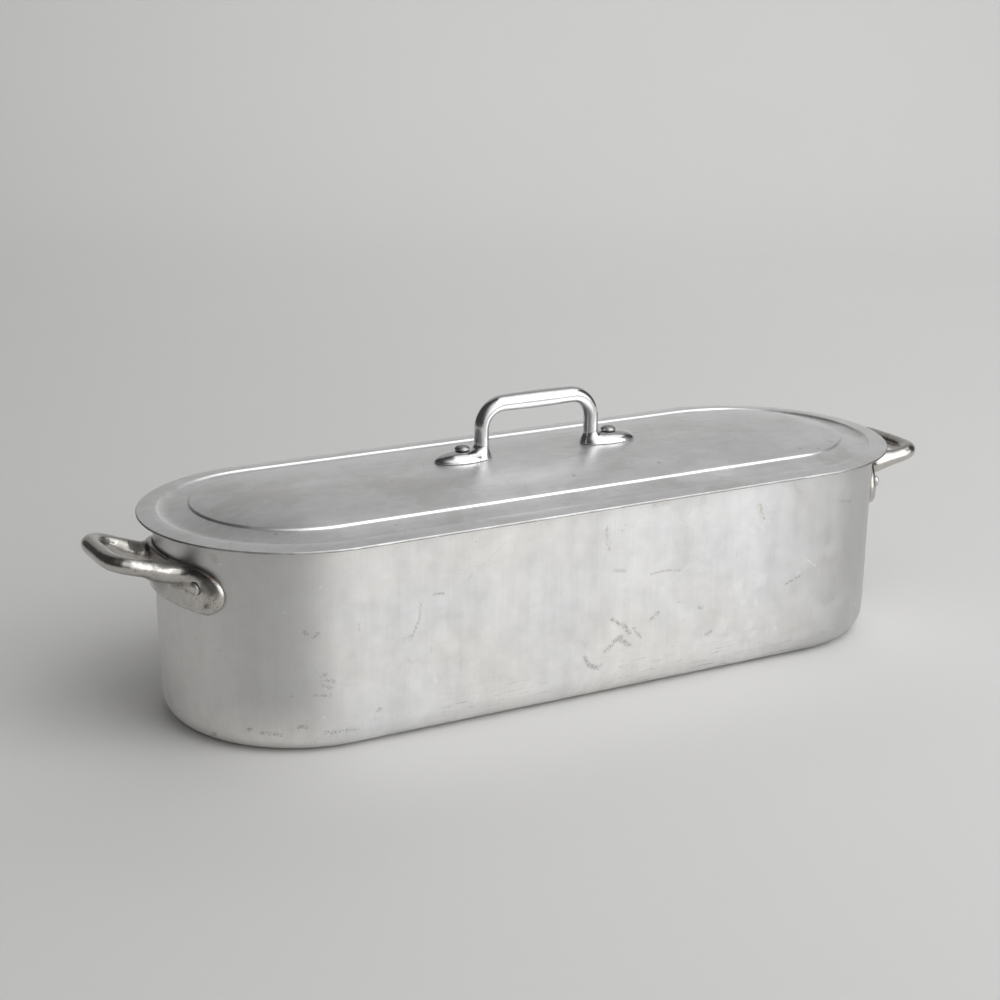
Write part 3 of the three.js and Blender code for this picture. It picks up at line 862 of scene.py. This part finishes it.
def makeLid():
    edge = rimRadius + lid["overhang"]
    ledgeIn = rimRadius - pan["wall"] - lid["ledgeMargin"]
    channelOut = ledgeIn - lid["dishRun"]
    channelIn = channelOut - lid["channelWidth"]
    panelEdge = channelIn - lid["stepRun"]
    corners = [
        (edge, ledgeTop - lid["droop"]),
        (rimRadius + lid["ledgeMargin"], ledgeTop, 3.0),
        (ledgeIn, ledgeTop, 0.7),
        (ledgeIn - lid["dishSteep"][0], ledgeTop - lid["dishSteep"][1], 1.2),
        (channelOut, channelFloor, 3.5),
        (channelIn, channelFloor + lid["channelRise"], 0.5),
        (panelEdge, panelRim, 0.6),
    ]
    for i in range(1, lid["crownRings"] + 1):
        along = i / lid["crownRings"]
        radius = panelEdge + (lid["crownFlat"] - panelEdge) * along
        corners.append((radius, crownTop - lid["crownHeight"] * (1 - along) ** 2))
    topLine = rounded(corners, 5)
    under = offsetLine(topLine, lid["sheet"])
    bead = lid["sheet"] / 2
    middle = ((topLine[0][0] + under[0][0]) / 2 - bead, (topLine[0][1] + under[0][1]) / 2)
    lip = arc(middle, bead, -lid["lipTurn"], lid["lipTurn"], 6)
    topLine[0] = (edge - bead, topLine[0][1] + lid["lipLift"])
    under[0] = (edge - bead, under[0][1] + lid["lipLift"])
    profile = [(0, crownTop - lid["sheet"]), *reversed(under), *lip, *topLine, (0, crownTop)]
    piece = sweptPiece("lid", profile, lidSatin, pan["columns"], pan["straightCuts"])
    smooth(piece, 50)
    settle(piece, "lid", ["lid_shell"])


makeLid()


# Cast pieces: distance fields joined with soft fillets and skinned with even quads, in millimetres

def field(low, high, step):
    axes = [np.arange(start, end, step, dtype=np.float32) for start, end in zip(low, high)]
    return np.meshgrid(*axes, indexing="ij")


def joined(first, second, fillet):
    share = np.clip(0.5 + 0.5 * (second - first) / fillet, 0, 1)
    return second + (first - second) * share - fillet * share * (1 - share)


def cutOut(first, second, fillet):
    return -joined(-first, second, fillet)


def barField(place, points, radii, flatten=1.0):
    # A bar through the points with a radius at each, flattened along Z
    x, y, z = place
    total = None
    for start, end, before, after in zip(points, points[1:], radii, radii[1:]):
        way = np.subtract(end, start)
        share = (x - start[0]) * way[0] + (y - start[1]) * way[1] + (z - start[2]) * way[2]
        share = np.clip(share / np.dot(way, way), 0, 1)
        dx = x - start[0] - way[0] * share
        dy = y - start[1] - way[1] * share
        dz = (z - start[2] - way[2] * share) * flatten
        distance = np.sqrt(dx * dx + dy * dy + dz * dz) - (before + (after - before) * share)
        total = distance if total is None else np.minimum(total, distance)
    return total


def skin(name, distance, low, step, material, mirror=False):
    far = 3
    grid = openvdb.FloatGrid(float(far))
    grid.copyFromArray(np.clip(distance, -far, far).astype(np.float32))
    points, quads = grid.convertToQuads(0.0)
    points = (points * step + np.array(low)) * mm
    quads = quads[:, ::-1]
    if mirror:
        points[:, 0] *= -1
        quads = quads[:, ::-1]
    mesh = meshFrom(name, points, [tuple(map(int, quad)) for quad in quads])
    work = bmesh.new()
    work.from_mesh(mesh)
    bmesh.ops.remove_doubles(work, verts=work.verts, dist=0.002 * mm)
    if work.calc_volume(signed=True) < 0:
        bmesh.ops.reverse_faces(work, faces=work.faces)
    axes = {f"use_axis_{axis}": True for axis in "xyz"}
    for _ in range(3):
        bmesh.ops.smooth_vert(work, verts=work.verts, factor=0.5, **axes)
    work.to_mesh(mesh)
    work.free()
    mesh.materials.append(material)
    mesh.shade_smooth()
    return addObject(name, mesh)


# Handle on the lid: a bow that swells in the hand and flares into two domed feet

lidHandle = {
    "offset": 2.3,
    "legSpacing": 95.8,
    "height": 40.3,
    "corner": 18.5,
    "footLength": 45.6,
    "footWidth": 26,
    "footHeight": 7.8,
    "footInset": 4.9,
    "heel": 1.7,
    "hole": 3.3,
    "legRadius": 5.5,
    "middleRadius": 6.7,
    "swellReach": 46,
    "flare": 7.6,
    "flareHeight": 11,
    "narrowed": 0.86,
    "legRises": (-1, 2, 4, 6, 9, 13, 18),
    "topStops": (-22, -11),
    "fillet": 4.5,
    "step": 0.62,
    "room": 3,
    "roomAcross": 15,
    "roomAbove": 9,
}
footSeat = crownTop + gap
footInner = lidHandle["legSpacing"] / 2 - lidHandle["footInset"] - lidHandle["heel"]
footMiddle = footInner + lidHandle["footLength"] / 2


def footField(place, middle):
    size = lidHandle
    x, y, z = place
    half = (size["footLength"] / 2, size["footWidth"] / 2, size["footHeight"])
    parts = ((x - middle) / half[0], y / half[1], (z - footSeat) / half[2])
    radius = np.sqrt(parts[0] ** 2 + parts[1] ** 2 + parts[2] ** 2)
    slope = np.sqrt((parts[0] / half[0]) ** 2 + (parts[1] / half[1]) ** 2 + (parts[2] / half[2]) ** 2)
    dome = radius * (radius - 1) / np.maximum(slope, 1e-4)
    return np.maximum(dome, z - (footSeat + size["footHeight"] * 0.98))


def makeLidHandle():
    size = lidHandle
    low = (-footMiddle - size["footLength"] / 2 - size["room"], -size["roomAcross"], footSeat - size["room"])
    high = (-low[0], size["roomAcross"], footSeat + size["height"] + size["roomAbove"])
    place = field(low, high, size["step"])
    x, y, z = place
    legX = size["legSpacing"] / 2
    top = crownTop + size["height"]
    corner = size["corner"]
    points = [(-legX, 0, footSeat + rise) for rise in size["legRises"]]
    shoulder = arc((corner - legX, top - corner), corner, 180, 90, 12)
    points += [(along, 0, height) for along, height in shoulder]
    points += [(along, 0, top) for along in size["topStops"]]
    points += [(0, 0, top)] + [(-along, 0, height) for along, _, height in reversed(points)]
    radii = []
    for along, _, height in points:
        swell = max(0, 1 - (along / size["swellReach"]) ** 2) * (size["middleRadius"] - size["legRadius"])
        flare = max(0, 1 - (height - footSeat) / size["flareHeight"]) ** 2
        radii.append(size["legRadius"] + swell + flare * (size["flare"] - size["legRadius"]))
    bow = barField((x, y * size["narrowed"], z), points, radii)
    feet = np.minimum(footField(place, -footMiddle), footField(place, footMiddle))
    solid = joined(bow, feet, size["fillet"])
    solid = np.maximum(solid, footSeat - z)
    for side in (-1, 1):
        solid = np.maximum(solid, size["hole"] - np.hypot(x - side * footMiddle, y))
    piece = skin("lid_bow", solid, low, size["step"], handlePlate)
    piece.data.transform(Matrix.Translation((size["offset"] * mm, 0, 0)))
    settle(piece, "lid", ["lid_handle"])


makeLidHandle()


# End handles: a plate that hugs the wall, a rising loop and two ridges that run out along the plate
# Each row of the ridge is how far along the plate, how high, its radius, and how much of that stands out
# The ridge is measured on the left plate, and the other plate's is drawn in with its half width

endHandle = {
    "plateTall": 31.8,
    "plateLift": 0.4,
    "plateThick": 4,
    "plateEdge": 1.3,
    "edgeSlope": 0.86,
    "loopHalfWidth": 41,
    "rootHalfWidth": 25,
    "rootDepth": 6,
    "risePower": 1.5,
    "rootLift": 2.5,
    "loopHalf": 6.7,
    "rootFlare": 0.8,
    "rootFlareRun": 0.4,
    "loopFlatten": 1.12,
    "fillet": 8,
    "ridgeFillet": 5,
    "ridgeHalfWidth": 64.5,
    "ridgeDroop": 1.9,
    "ridgeFollows": 0.8,
    "ridge": [
        (30.5, 13.2, 6.2, -2.3),
        (33, 11.6, 6.2, -1.1),
        (36.5, 10.6, 6.1, -0.2),
        (40.5, 10.2, 5.7, 0.5),
        (45, 9.4, 5.0, 0.8),
        (49.5, 7.8, 4.1, 0.85),
        (53.5, 5.0, 3.4, 0.85),
        (57.3, 1.0, 2.9, 0.80),
        (59.6, -3.6, 2.5, 0.75),
        (58.8, -8.4, 2.1, 0.75),
        (55, -12.2, 1.7, 0.75),
    ],
    "hole": 3.3,
    "holeDepth": 12,
    "pocket": 4.7,
    "pocketFillet": 0.5,
    "pitFillet": 0.8,
    "pitLift": 2.6,
    "step": 0.72,
    "roomBelow": (-26, -66, -20),
    "roomAbove": (56, 66.3, 33),
}

# What differs between the left and the right end

endSides = {
    "reach": (44.3, 45.8),
    "corner": (29, 25),
    "rise": (19, 14.5),
    "plateHalfWidth": (64.5, 59),
    "droopFront": (2.4, 3.4),
    "droopRear": (7.0, 2.4),
    "rearDrop": (4.4, 1.5),
    "rivetAngle": (26, 28),
    "rivetLift": (1.5, 1.0),
    "tailHeight": (2.9, 3.7),
}

# Casting pits at the left and the right end: along the plate, height and radius

castPits = {
    -1: [(37.5, 123.0, 1.5), (1.5, 112.0, 0.9), (45.5, 126.0, 0.8), (50.5, 108.0, 0.6), (30.0, 106.0, 0.6)],
    1: [(-35.0, 122.5, 1.1), (40.5, 108.5, 0.9), (-47.0, 110.0, 0.8), (22.0, 105.5, 0.7)],
}
sideRivet = {"head": 14, "headHeight": 3, "shank": 6, "tail": 8.8, "ring": 0.6}
seatRadius = wallRadius(plateHeight) - pan["wall"]
seatHalf = sideRivet["head"] / 2
seatSink = seatRadius - math.sqrt(seatRadius ** 2 - seatHalf ** 2) + seatHalf * pan["draft"] / pan["height"]
sideGrip = seatSink + pan["wall"] + gap + endHandle["plateThick"]


def sizesOf(side):
    return {**endHandle, **{name: pair[side > 0] for name, pair in endSides.items()}}


def loopLine(size):
    rootHalf = size["rootHalfWidth"]
    root = halfStraight + math.sqrt(rimRadius ** 2 - rootHalf ** 2) - size["rootDepth"]
    tip = pan["length"] / 2 + size["reach"]
    spots = ((root, -rootHalf), (tip, -size["loopHalfWidth"]), (tip, size["loopHalfWidth"]), (root, rootHalf))
    corners = [Vector(spot) for spot in spots]
    flat = [corners[0].lerp(corners[1], share) for share in (0, 0.2, 0.4)]
    for i in (1, 2):
        start = corners[i] + (corners[i - 1] - corners[i]).normalized() * size["corner"]
        end = corners[i] + (corners[i + 1] - corners[i]).normalized() * size["corner"]
        flat += curved(start, corners[i], end, 8)
    flat += [corners[3].lerp(corners[2], share) for share in (0.4, 0.2, 0)]
    points = []
    for spot in flat:
        left = 1 - (spot.x - root) / (tip - root)
        height = plateHeight + size["rootLift"] + size["rise"] * (1 - max(left, 0) ** size["risePower"])
        if spot.y > 0:
            height -= size["rearDrop"] * max(left, 0)
        points.append((spot.x, spot.y, height))
    return points


def plateField(place, off, size):
    x, y, z = place
    end = size["plateTall"] / 2
    droop = np.where(y > 0, size["droopRear"], size["droopFront"])
    tall = z - plateHeight - size["plateLift"] + droop * (y / size["plateHalfWidth"]) ** 2
    outline = np.hypot(np.maximum(np.abs(y) - (size["plateHalfWidth"] - end), 0), tall) - end
    thick = size["plateThick"] / 2
    edge = size["plateEdge"]
    sheet = np.abs(off - gap - thick) - thick + edge
    side = outline * size["edgeSlope"] + edge
    return np.minimum(np.maximum(sheet, side), 0) + np.hypot(np.maximum(sheet, 0), np.maximum(side, 0)) - edge


def loopField(place, size):
    line = loopLine(size)
    root = line[0][0]
    run = (max(spot[0] for spot in line) - root) * size["rootFlareRun"]
    radii = [size["loopHalf"] + size["rootFlare"] * max(0, 1 - (spot[0] - root) / run) ** 2 for spot in line]
    return barField(place, line, radii, size["loopFlatten"])


def ridgeField(place, size, across):
    droop = size["droopRear"] if across > 0 else size["droopFront"]
    points = []
    for reach, lift, radius, share in size["ridge"]:
        along = reach * size["plateHalfWidth"] / size["ridgeHalfWidth"]
        height = plateHeight + lift - (droop - size["ridgeDroop"]) * size["ridgeFollows"]
        wall = wallRadius(height) + gap + size["plateThick"] - radius * share
        points.append((halfStraight + math.sqrt(wall ** 2 - along ** 2), across * along, height))
    return barField(place, points, [row[2] for row in size["ridge"]])


def makeEndHandle(side, name, node):
    size = sizesOf(side)
    corner = (pan["length"] / 2, 0, plateHeight)
    low = np.add(corner, size["roomBelow"])
    place = field(low, np.add(corner, size["roomAbove"]), size["step"])
    x, y, z = place
    past = x - halfStraight
    off = np.hypot(past, y) - (rimRadius - pan["draft"] * (1 - z / pan["height"]))
    ridges = np.minimum(ridgeField(place, size, -1), ridgeField(place, size, 1))
    solid = joined(plateField(place, off, size), ridges, size["ridgeFillet"])
    solid = joined(solid, loopField(place, size), size["fillet"])
    for across in (-1, 1):
        turn = math.radians(size["rivetAngle"]) * across
        outward = (math.cos(turn), math.sin(turn))
        depth = past * outward[0] + y * outward[1] - (seatRadius - seatSink)
        aside = np.hypot(-past * outward[1] + y * outward[0], z - plateHeight - size["rivetLift"])
        hole = np.where(depth > sideGrip - size["holeDepth"], aside - size["hole"], 9)
        solid = np.maximum(solid, -hole)
        solid = cutOut(solid, np.maximum(aside - size["pocket"], sideGrip - depth), size["pocketFillet"])
    for reach, height, radius in castPits[side]:
        wall = wallRadius(height) + gap + size["plateThick"] + radius * 0.2
        if height > plateHeight + 3:
            wall += size["pitLift"]
        spot = (halfStraight + math.sqrt(wall ** 2 - reach ** 2), -reach, height)
        pit = np.sqrt((x - spot[0]) ** 2 + (y - spot[1]) ** 2 + (z - spot[2]) ** 2) - radius
        solid = cutOut(solid, pit, size["pitFillet"])
    solid = np.maximum(solid, gap - off)
    piece = skin(name, solid, low, size["step"], castTinned, mirror=side < 0)
    settle(piece, "kettle", [node])


makeEndHandle(-1, "end_handle_left", "side_handle_left")
makeEndHandle(1, "end_handle_right", "side_handle_right")


# Rivets

lidRivet = {"head": 11.8, "headHeight": 3, "shank": 6, "tail": 9, "tailHeight": 2.2, "ring": 0.4}
lugRivet = {"head": 7, "headHeight": 1.6, "shank": 3.6, "tail": 6, "tailHeight": 1.2, "ring": 0.3}


def makeRivets():
    for side, end in ((-1, "left"), (1, "right")):
        size = sizesOf(side)
        seats = []
        aims = []
        for across in (-1, 1):
            turn = math.radians(size["rivetAngle"]) * across
            outward = Vector((side * math.cos(turn), math.sin(turn), 0))
            seat = outward * (seatRadius - seatSink)
            seat.x += side * halfStraight
            seat.z = plateHeight + size["rivetLift"]
            seats.append(seat)
            aims.append(-outward)
        profile = rivetProfile({**sideRivet, "tailHeight": size["tailHeight"]}, sideGrip)
        piece = rivetPiece(f"end_rivets_{end}", profile, seats, aims, 28, rivetTinned)
        names = [f"side_rivet_{end}_{face}" for face in ("front", "rear")]
        settle(piece, "kettle", names)
    height = footSeat + lidHandle["footHeight"]
    seats = [(lidHandle["offset"] + side * footMiddle, 0, height) for side in (-1, 1)]
    profile = rivetProfile(lidRivet, lidHandle["footHeight"] + gap + lid["sheet"])
    piece = rivetPiece("lid_rivets", profile, seats, [(0, 0, 1)] * 2, 32, rivetAluminium)
    settle(piece, "lid", ["lid_rivet_left", "lid_rivet_right"])


makeRivets()


# Drainer: a tray with staggered holes, on its own turned-down edge

drainer = {
    "margin": 1,
    "sheet": 1.5,
    "height": 16,
    "bend": 3,
    "foot": 0.5,
    "hole": 9,
    "holeDepth": 6,
    "pitch": 34,
    "rowPitch": 26,
    "edge": 9,
    "lugMargin": 1,
    "sides": 24,
    "columns": 96,
    "straightCuts": 8,
}
wire = {
    "thick": 5,
    "span": 76,
    "reach": 76,
    "corner": 15,
    "inset": 40,
    "pinCorner": 5,
    "pinOvershoot": 3,
    "lugWidth": 10,
    "strap": 1.5,
    "curl": 290,
    "curlStep": 15,
    "tab": 15,
    "tabStart": 5,
    "tabEnd": 4,
    "softEdge": 0.3,
    "gap": 0.4,
}
drainerRadius = rimRadius - pan["draft"] - pan["fillet"] - drainer["margin"]
drainerFoot = pan["base"] + gap
drainerTop = drainerFoot + drainer["height"]
eyeRadius = wire["thick"] / 2 + wire["gap"]
eyeOuter = eyeRadius + wire["strap"]
pivotX = halfStraight + drainerRadius - wire["inset"]
pivotZ = drainerTop + gap + eyeOuter
lugMiddle = wire["span"] / 2 + wire["pinCorner"] + wire["gap"] + wire["lugWidth"] / 2
lugRivetX = pivotX + eyeOuter + (wire["tab"] - eyeOuter) / 2


def holeSpots():
    spots = []
    radius = drainer["hole"] / 2
    keep = drainerRadius - drainer["edge"] - radius
    rows = int(keep / drainer["rowPitch"])
    columns = math.ceil((halfStraight + keep) / drainer["pitch"])
    lugReach = radius + math.hypot(wire["tab"], wire["lugWidth"]) / 2 + drainer["lugMargin"]
    for row in range(-rows, rows + 1):
        shift = drainer["pitch"] / 2 if row % 2 else 0
        for column in range(-columns, columns + 1):
            x = column * drainer["pitch"] + shift
            y = row * drainer["rowPitch"]
            past = max(abs(x) - halfStraight, 0)
            byLug = math.hypot(abs(x) - lugRivetX, abs(y) - lugMiddle) < lugReach
            if math.hypot(past, y) < keep and not byLug:
                spots.append(Vector((x, y, drainerTop)) * mm)
    return spots


def makeDrainer():
    size = drainer
    sheet = size["sheet"]
    bend = size["bend"]
    lift = drainerFoot + size["foot"]
    middle = (drainerRadius - bend, drainerTop - bend)
    profile = [
        (0, drainerTop - sheet),
        *arc(middle, bend - sheet, 90, 0, 5),
        (drainerRadius - sheet, lift),
        (drainerRadius - sheet * 0.75, drainerFoot),
        (drainerRadius - sheet * 0.25, drainerFoot),
        (drainerRadius, lift),
        *arc(middle, bend, 0, 90, 6),
        (0, drainerTop),
    ]
    piece = sweptPiece("drainer", profile, trayAluminium, size["columns"], size["straightCuts"])
    holes = addObject("drainer_holes", meshFrom("drainer_holes", holeSpots()))
    values = {"Diameter": size["hole"] * mm, "Depth": size["holeDepth"] * mm, "Sides": size["sides"]}
    grow(piece, perforateTree, Holes=holes, Material=trayAluminium, **values)
    bpy.data.objects.remove(holes)
    smooth(piece, 35)
    settle(piece, "drainer", ["drainer_tray"])


def makeLug(side, across, end, face):
    # A strap curled round the wire, with a flat tab under it
    middle = eyeRadius + wire["strap"] / 2
    line = [(along, middle) for along in (wire["tab"], wire["tab"] - wire["tabEnd"], wire["tabStart"])]
    for degrees in range(0, wire["curl"] + 1, wire["curlStep"]):
        turn = math.radians(degrees)
        line.append((middle * math.sin(turn), middle * math.cos(turn)))
    points = []
    for i, (along, drop) in enumerate(line):
        before = Vector(line[max(i - 1, 0)])
        after = Vector(line[min(i + 1, len(line) - 1)])
        way = (after - before).normalized()
        thick = Vector((-way.y, way.x)) * wire["strap"] / 2
        for lift, half in ((1, -1), (1, 1), (-1, 1), (-1, -1)):
            x = along + thick.x * lift
            z = drop + thick.y * lift
            y = across * lugMiddle + half * wire["lugWidth"] / 2
            points.append(Vector((side * (pivotX + x), y, pivotZ - z)) * mm)
    faces = []
    for first in range(0, len(points) - 4, 4):
        for j in range(4):
            k = (j + 1) % 4
            faces.append((first + j, first + k, first + 4 + k, first + 4 + j))
    faces += [(3, 2, 1, 0), tuple(len(points) - 4 + j for j in range(4))]
    name = f"lug_{end}_{face}"
    mesh = meshFrom(name, points, faces)
    faceOutward(mesh)
    mesh.materials.append(trayAluminium)
    piece = addObject(name, mesh)
    bevel = piece.modifiers.new("softEdges", "BEVEL")
    bevel.width = wire["softEdge"] * mm
    bevel.segments = 2
    bevel.limit_method = "ANGLE"
    bevel.angle_limit = math.radians(50)
    bake(piece)
    smooth(piece, 40)
    settle(piece, "drainer", [f"drainer_lug_{end}_{face}"])


def makeBail(side, end):
    # A wire bow that lies flat on the tray, its ends turned out through the lugs
    half = wire["span"] / 2
    reach = wire["reach"]
    pin = lugMiddle + wire["lugWidth"] / 2 + wire["pinOvershoot"]
    bow = wire["corner"]
    bend = wire["pinCorner"]
    line = rounded([
        (0, -pin),
        (0, -half, bend),
        (reach, -half, bow),
        (reach, half, bow),
        (0, half, bend),
        (0, pin),
    ], 8)
    name = f"bail_{end}"
    curve = bpy.data.curves.new(name, "CURVE")
    curve.dimensions = "3D"
    curve.bevel_depth = wire["thick"] / 2 * mm
    curve.bevel_resolution = 4
    curve.use_fill_caps = True
    spline = curve.splines.new("POLY")
    spline.points.add(len(line) - 1)
    for point, (inward, y) in zip(spline.points, line):
        point.co = (side * (pivotX - inward) * mm, y * mm, pivotZ * mm, 1)
    shape = addObject(name + "_line", curve)
    graph = bpy.context.evaluated_depsgraph_get()
    mesh = bpy.data.meshes.new_from_object(shape.evaluated_get(graph), depsgraph=graph)
    bpy.data.objects.remove(shape)
    faceOutward(mesh)
    mesh.materials.clear()
    mesh.materials.append(wireTinned)
    mesh.name = name
    piece = addObject(name, mesh)
    smooth(piece, 40)
    settle(piece, f"drainer_bail_{end}", [f"drainer_handle_{end}"])


def makeLugs():
    seats = []
    names = []
    for side, end in ((-1, "left"), (1, "right")):
        makeBail(side, end)
        for across, face in ((-1, "front"), (1, "rear")):
            makeLug(side, across, end, face)
            seats.append((side * lugRivetX, across * lugMiddle, drainerTop + gap + wire["strap"]))
            names.append(f"drainer_rivet_{end}_{face}")
    profile = rivetProfile(lugRivet, wire["strap"] + gap + drainer["sheet"])
    piece = rivetPiece("lug_rivets", profile, seats, [(0, 0, 1)] * 4, 20, rivetAluminium)
    settle(piece, "drainer", names)


makeDrainer()
makeLugs()


# Floor, world, lights and camera, all in metres and degrees
# Each glow is turn, rise and power
# Each light is turn, rise, distance, size, power, and whether metal mirrors it

studio = {
    "floorTone": 0.71,
    # the floor's painted shade on the left
    "leftShadeTone": 0.60,
    "floorReach": 14,
    "sweepTurn": 29,
    "sweepStart": 1.9,
    "sweepRound": 1.3,
    "sweepSteps": 24,
    "sweepTop": 6.0,
    "sweepHalfWidth": 2.7,
    "darkTone": 0.05,
    "brightest": 1.05,
    "glowSharpness": 8,
    "glows": [(0, 50, 1.1), (15, 15, 1.7), (40, 15, 0.5)],
    "aimHeight": 0.08,
    "lights": {
        "key": (32, 50, 2.6, (1.8, 1.8), 10.0, True),
        "front": (31, 20, 2.6, (2.6, 2.2), 19.0, True),
        "top": (72, 66, 2.6, (2.0, 2.0), 12.0, True),
        "backdropSide": (110, 35, 3.4, (2.0, 1.6), 8.0, False),
        "backdropRear": (150, 35, 3.4, (2.0, 1.6), 11.5, False),
        "floorFront": (8, 58, 1.5, (1.0, 1.0), 2.6, False),
        "floorLeft": (-75, 45, 1.5, (1.2, 1.2), 1.3, False),
    },
    "lens": 72.38,
    "sensor": 36,
    "cameraPlace": (-0.74292, -1.28197, 0.56599),
    "cameraRight": (0.87457, -0.48485, 0.00587),
    "cameraUp": (0.13251, 0.25064, 0.95897),
}


def floorMaterial():
    material, place = newMaterial("paleFloor", {"Roughness": 0.85, "Specular IOR Level": 0.2})
    # Painted shade: the floor's colour darkens towards the left, standing in for the weaker light there
    slope = levels(axesOf(place)[0], -1.6, 1.2, studio["leftShadeTone"], studio["floorTone"])
    tone = (cloud(place, 3.0) - 0.5) * 0.015 + slope
    paint(material, Base_Color=colorFrom(tone, tone - 0.003, tone - 0.010))
    return material


def makeFloor():
    # A floor that turns up into a wall behind the kettle, square to the camera
    far = studio["floorReach"]
    start = studio["sweepStart"]
    around = studio["sweepRound"]
    half = studio["sweepHalfWidth"]
    line = [(-far, 0), (0, 0), (start, 0)]
    floorRows = len(line)
    line += arc((start, around), around, -90, 0, studio["sweepSteps"])[1:]
    line.append((start + around, studio["sweepTop"]))
    way = math.radians(studio["sweepTurn"])
    forward = Vector((math.sin(way), math.cos(way), 0))
    aside = Vector((math.cos(way), -math.sin(way), 0))
    points = []
    for reach in (-far, -half, half, far):
        points += [forward * along + aside * reach + Vector((0, 0, rise)) for along, rise in line]
    faces = []
    for column, rows in enumerate((floorRows, len(line), floorRows)):
        for i in range(rows - 1):
            first = column * len(line) + i
            faces.append((first, first + len(line), first + len(line) + 1, first + 1))
    mesh = meshFrom("floor", points, faces)
    mesh.materials.append(floorMaterial())
    mesh.shade_smooth()
    addObject("floor", mesh)


def aimed(turn, rise):
    # Turn counts from the front towards the right, and rise from the floor up
    around = math.radians(turn)
    up = math.radians(rise)
    return Vector((math.sin(around) * math.cos(up), -math.cos(around) * math.cos(up), math.sin(up)))


def makeWorld():
    # A dark room with a few wide soft glows
    world = bpy.data.worlds.new("studio")
    scene.world = world
    world.use_nodes = True
    tree = world.node_tree
    tree.nodes.clear()
    way = out(tree, "ShaderNodeTexCoord", which="Generated")
    total = studio["darkTone"]
    for turn, rise, power in studio["glows"]:
        near = calc("MAXIMUM", vectorCalc("DOT_PRODUCT", way, aimed(turn, rise), "Value"), 0.0)
        total = calc("POWER", near, studio["glowSharpness"]) * power + total
    total = calc("MINIMUM", total, studio["brightest"])
    light = out(tree, "ShaderNodeBackground", {"Color": colorFrom(total, total, total)})
    put(tree, "ShaderNodeOutputWorld", {"Surface": light})


def addLight(name, turn, rise, distance, size, power, glossy):
    lamp = bpy.data.lights.new(name, "AREA")
    lamp.shape = "RECTANGLE"
    lamp.size, lamp.size_y = size
    lamp.energy = power
    light = addObject(name, lamp)
    way = aimed(turn, rise)
    light.location = way * distance + Vector((0, 0, studio["aimHeight"]))
    light.rotation_euler = way.to_track_quat("Z", "Y").to_euler()
    light.visible_camera = False
    light.visible_glossy = glossy


def makeCamera():
    lens = bpy.data.cameras.new("camera")
    lens.lens = studio["lens"]
    lens.sensor_width = studio["sensor"]
    camera = addObject("camera", lens)
    right = Vector(studio["cameraRight"])
    up = Vector(studio["cameraUp"])
    turn = Matrix((right, up, right.cross(up))).transposed()
    camera.matrix_world = Matrix.Translation(studio["cameraPlace"]) @ turn.to_4x4()
    scene.camera = camera


makeFloor()
makeWorld()
for name, values in studio["lights"].items():
    addLight(name, *values)
makeCamera()
scene.view_settings.view_transform = "Standard"

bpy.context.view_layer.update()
tell("scene done")
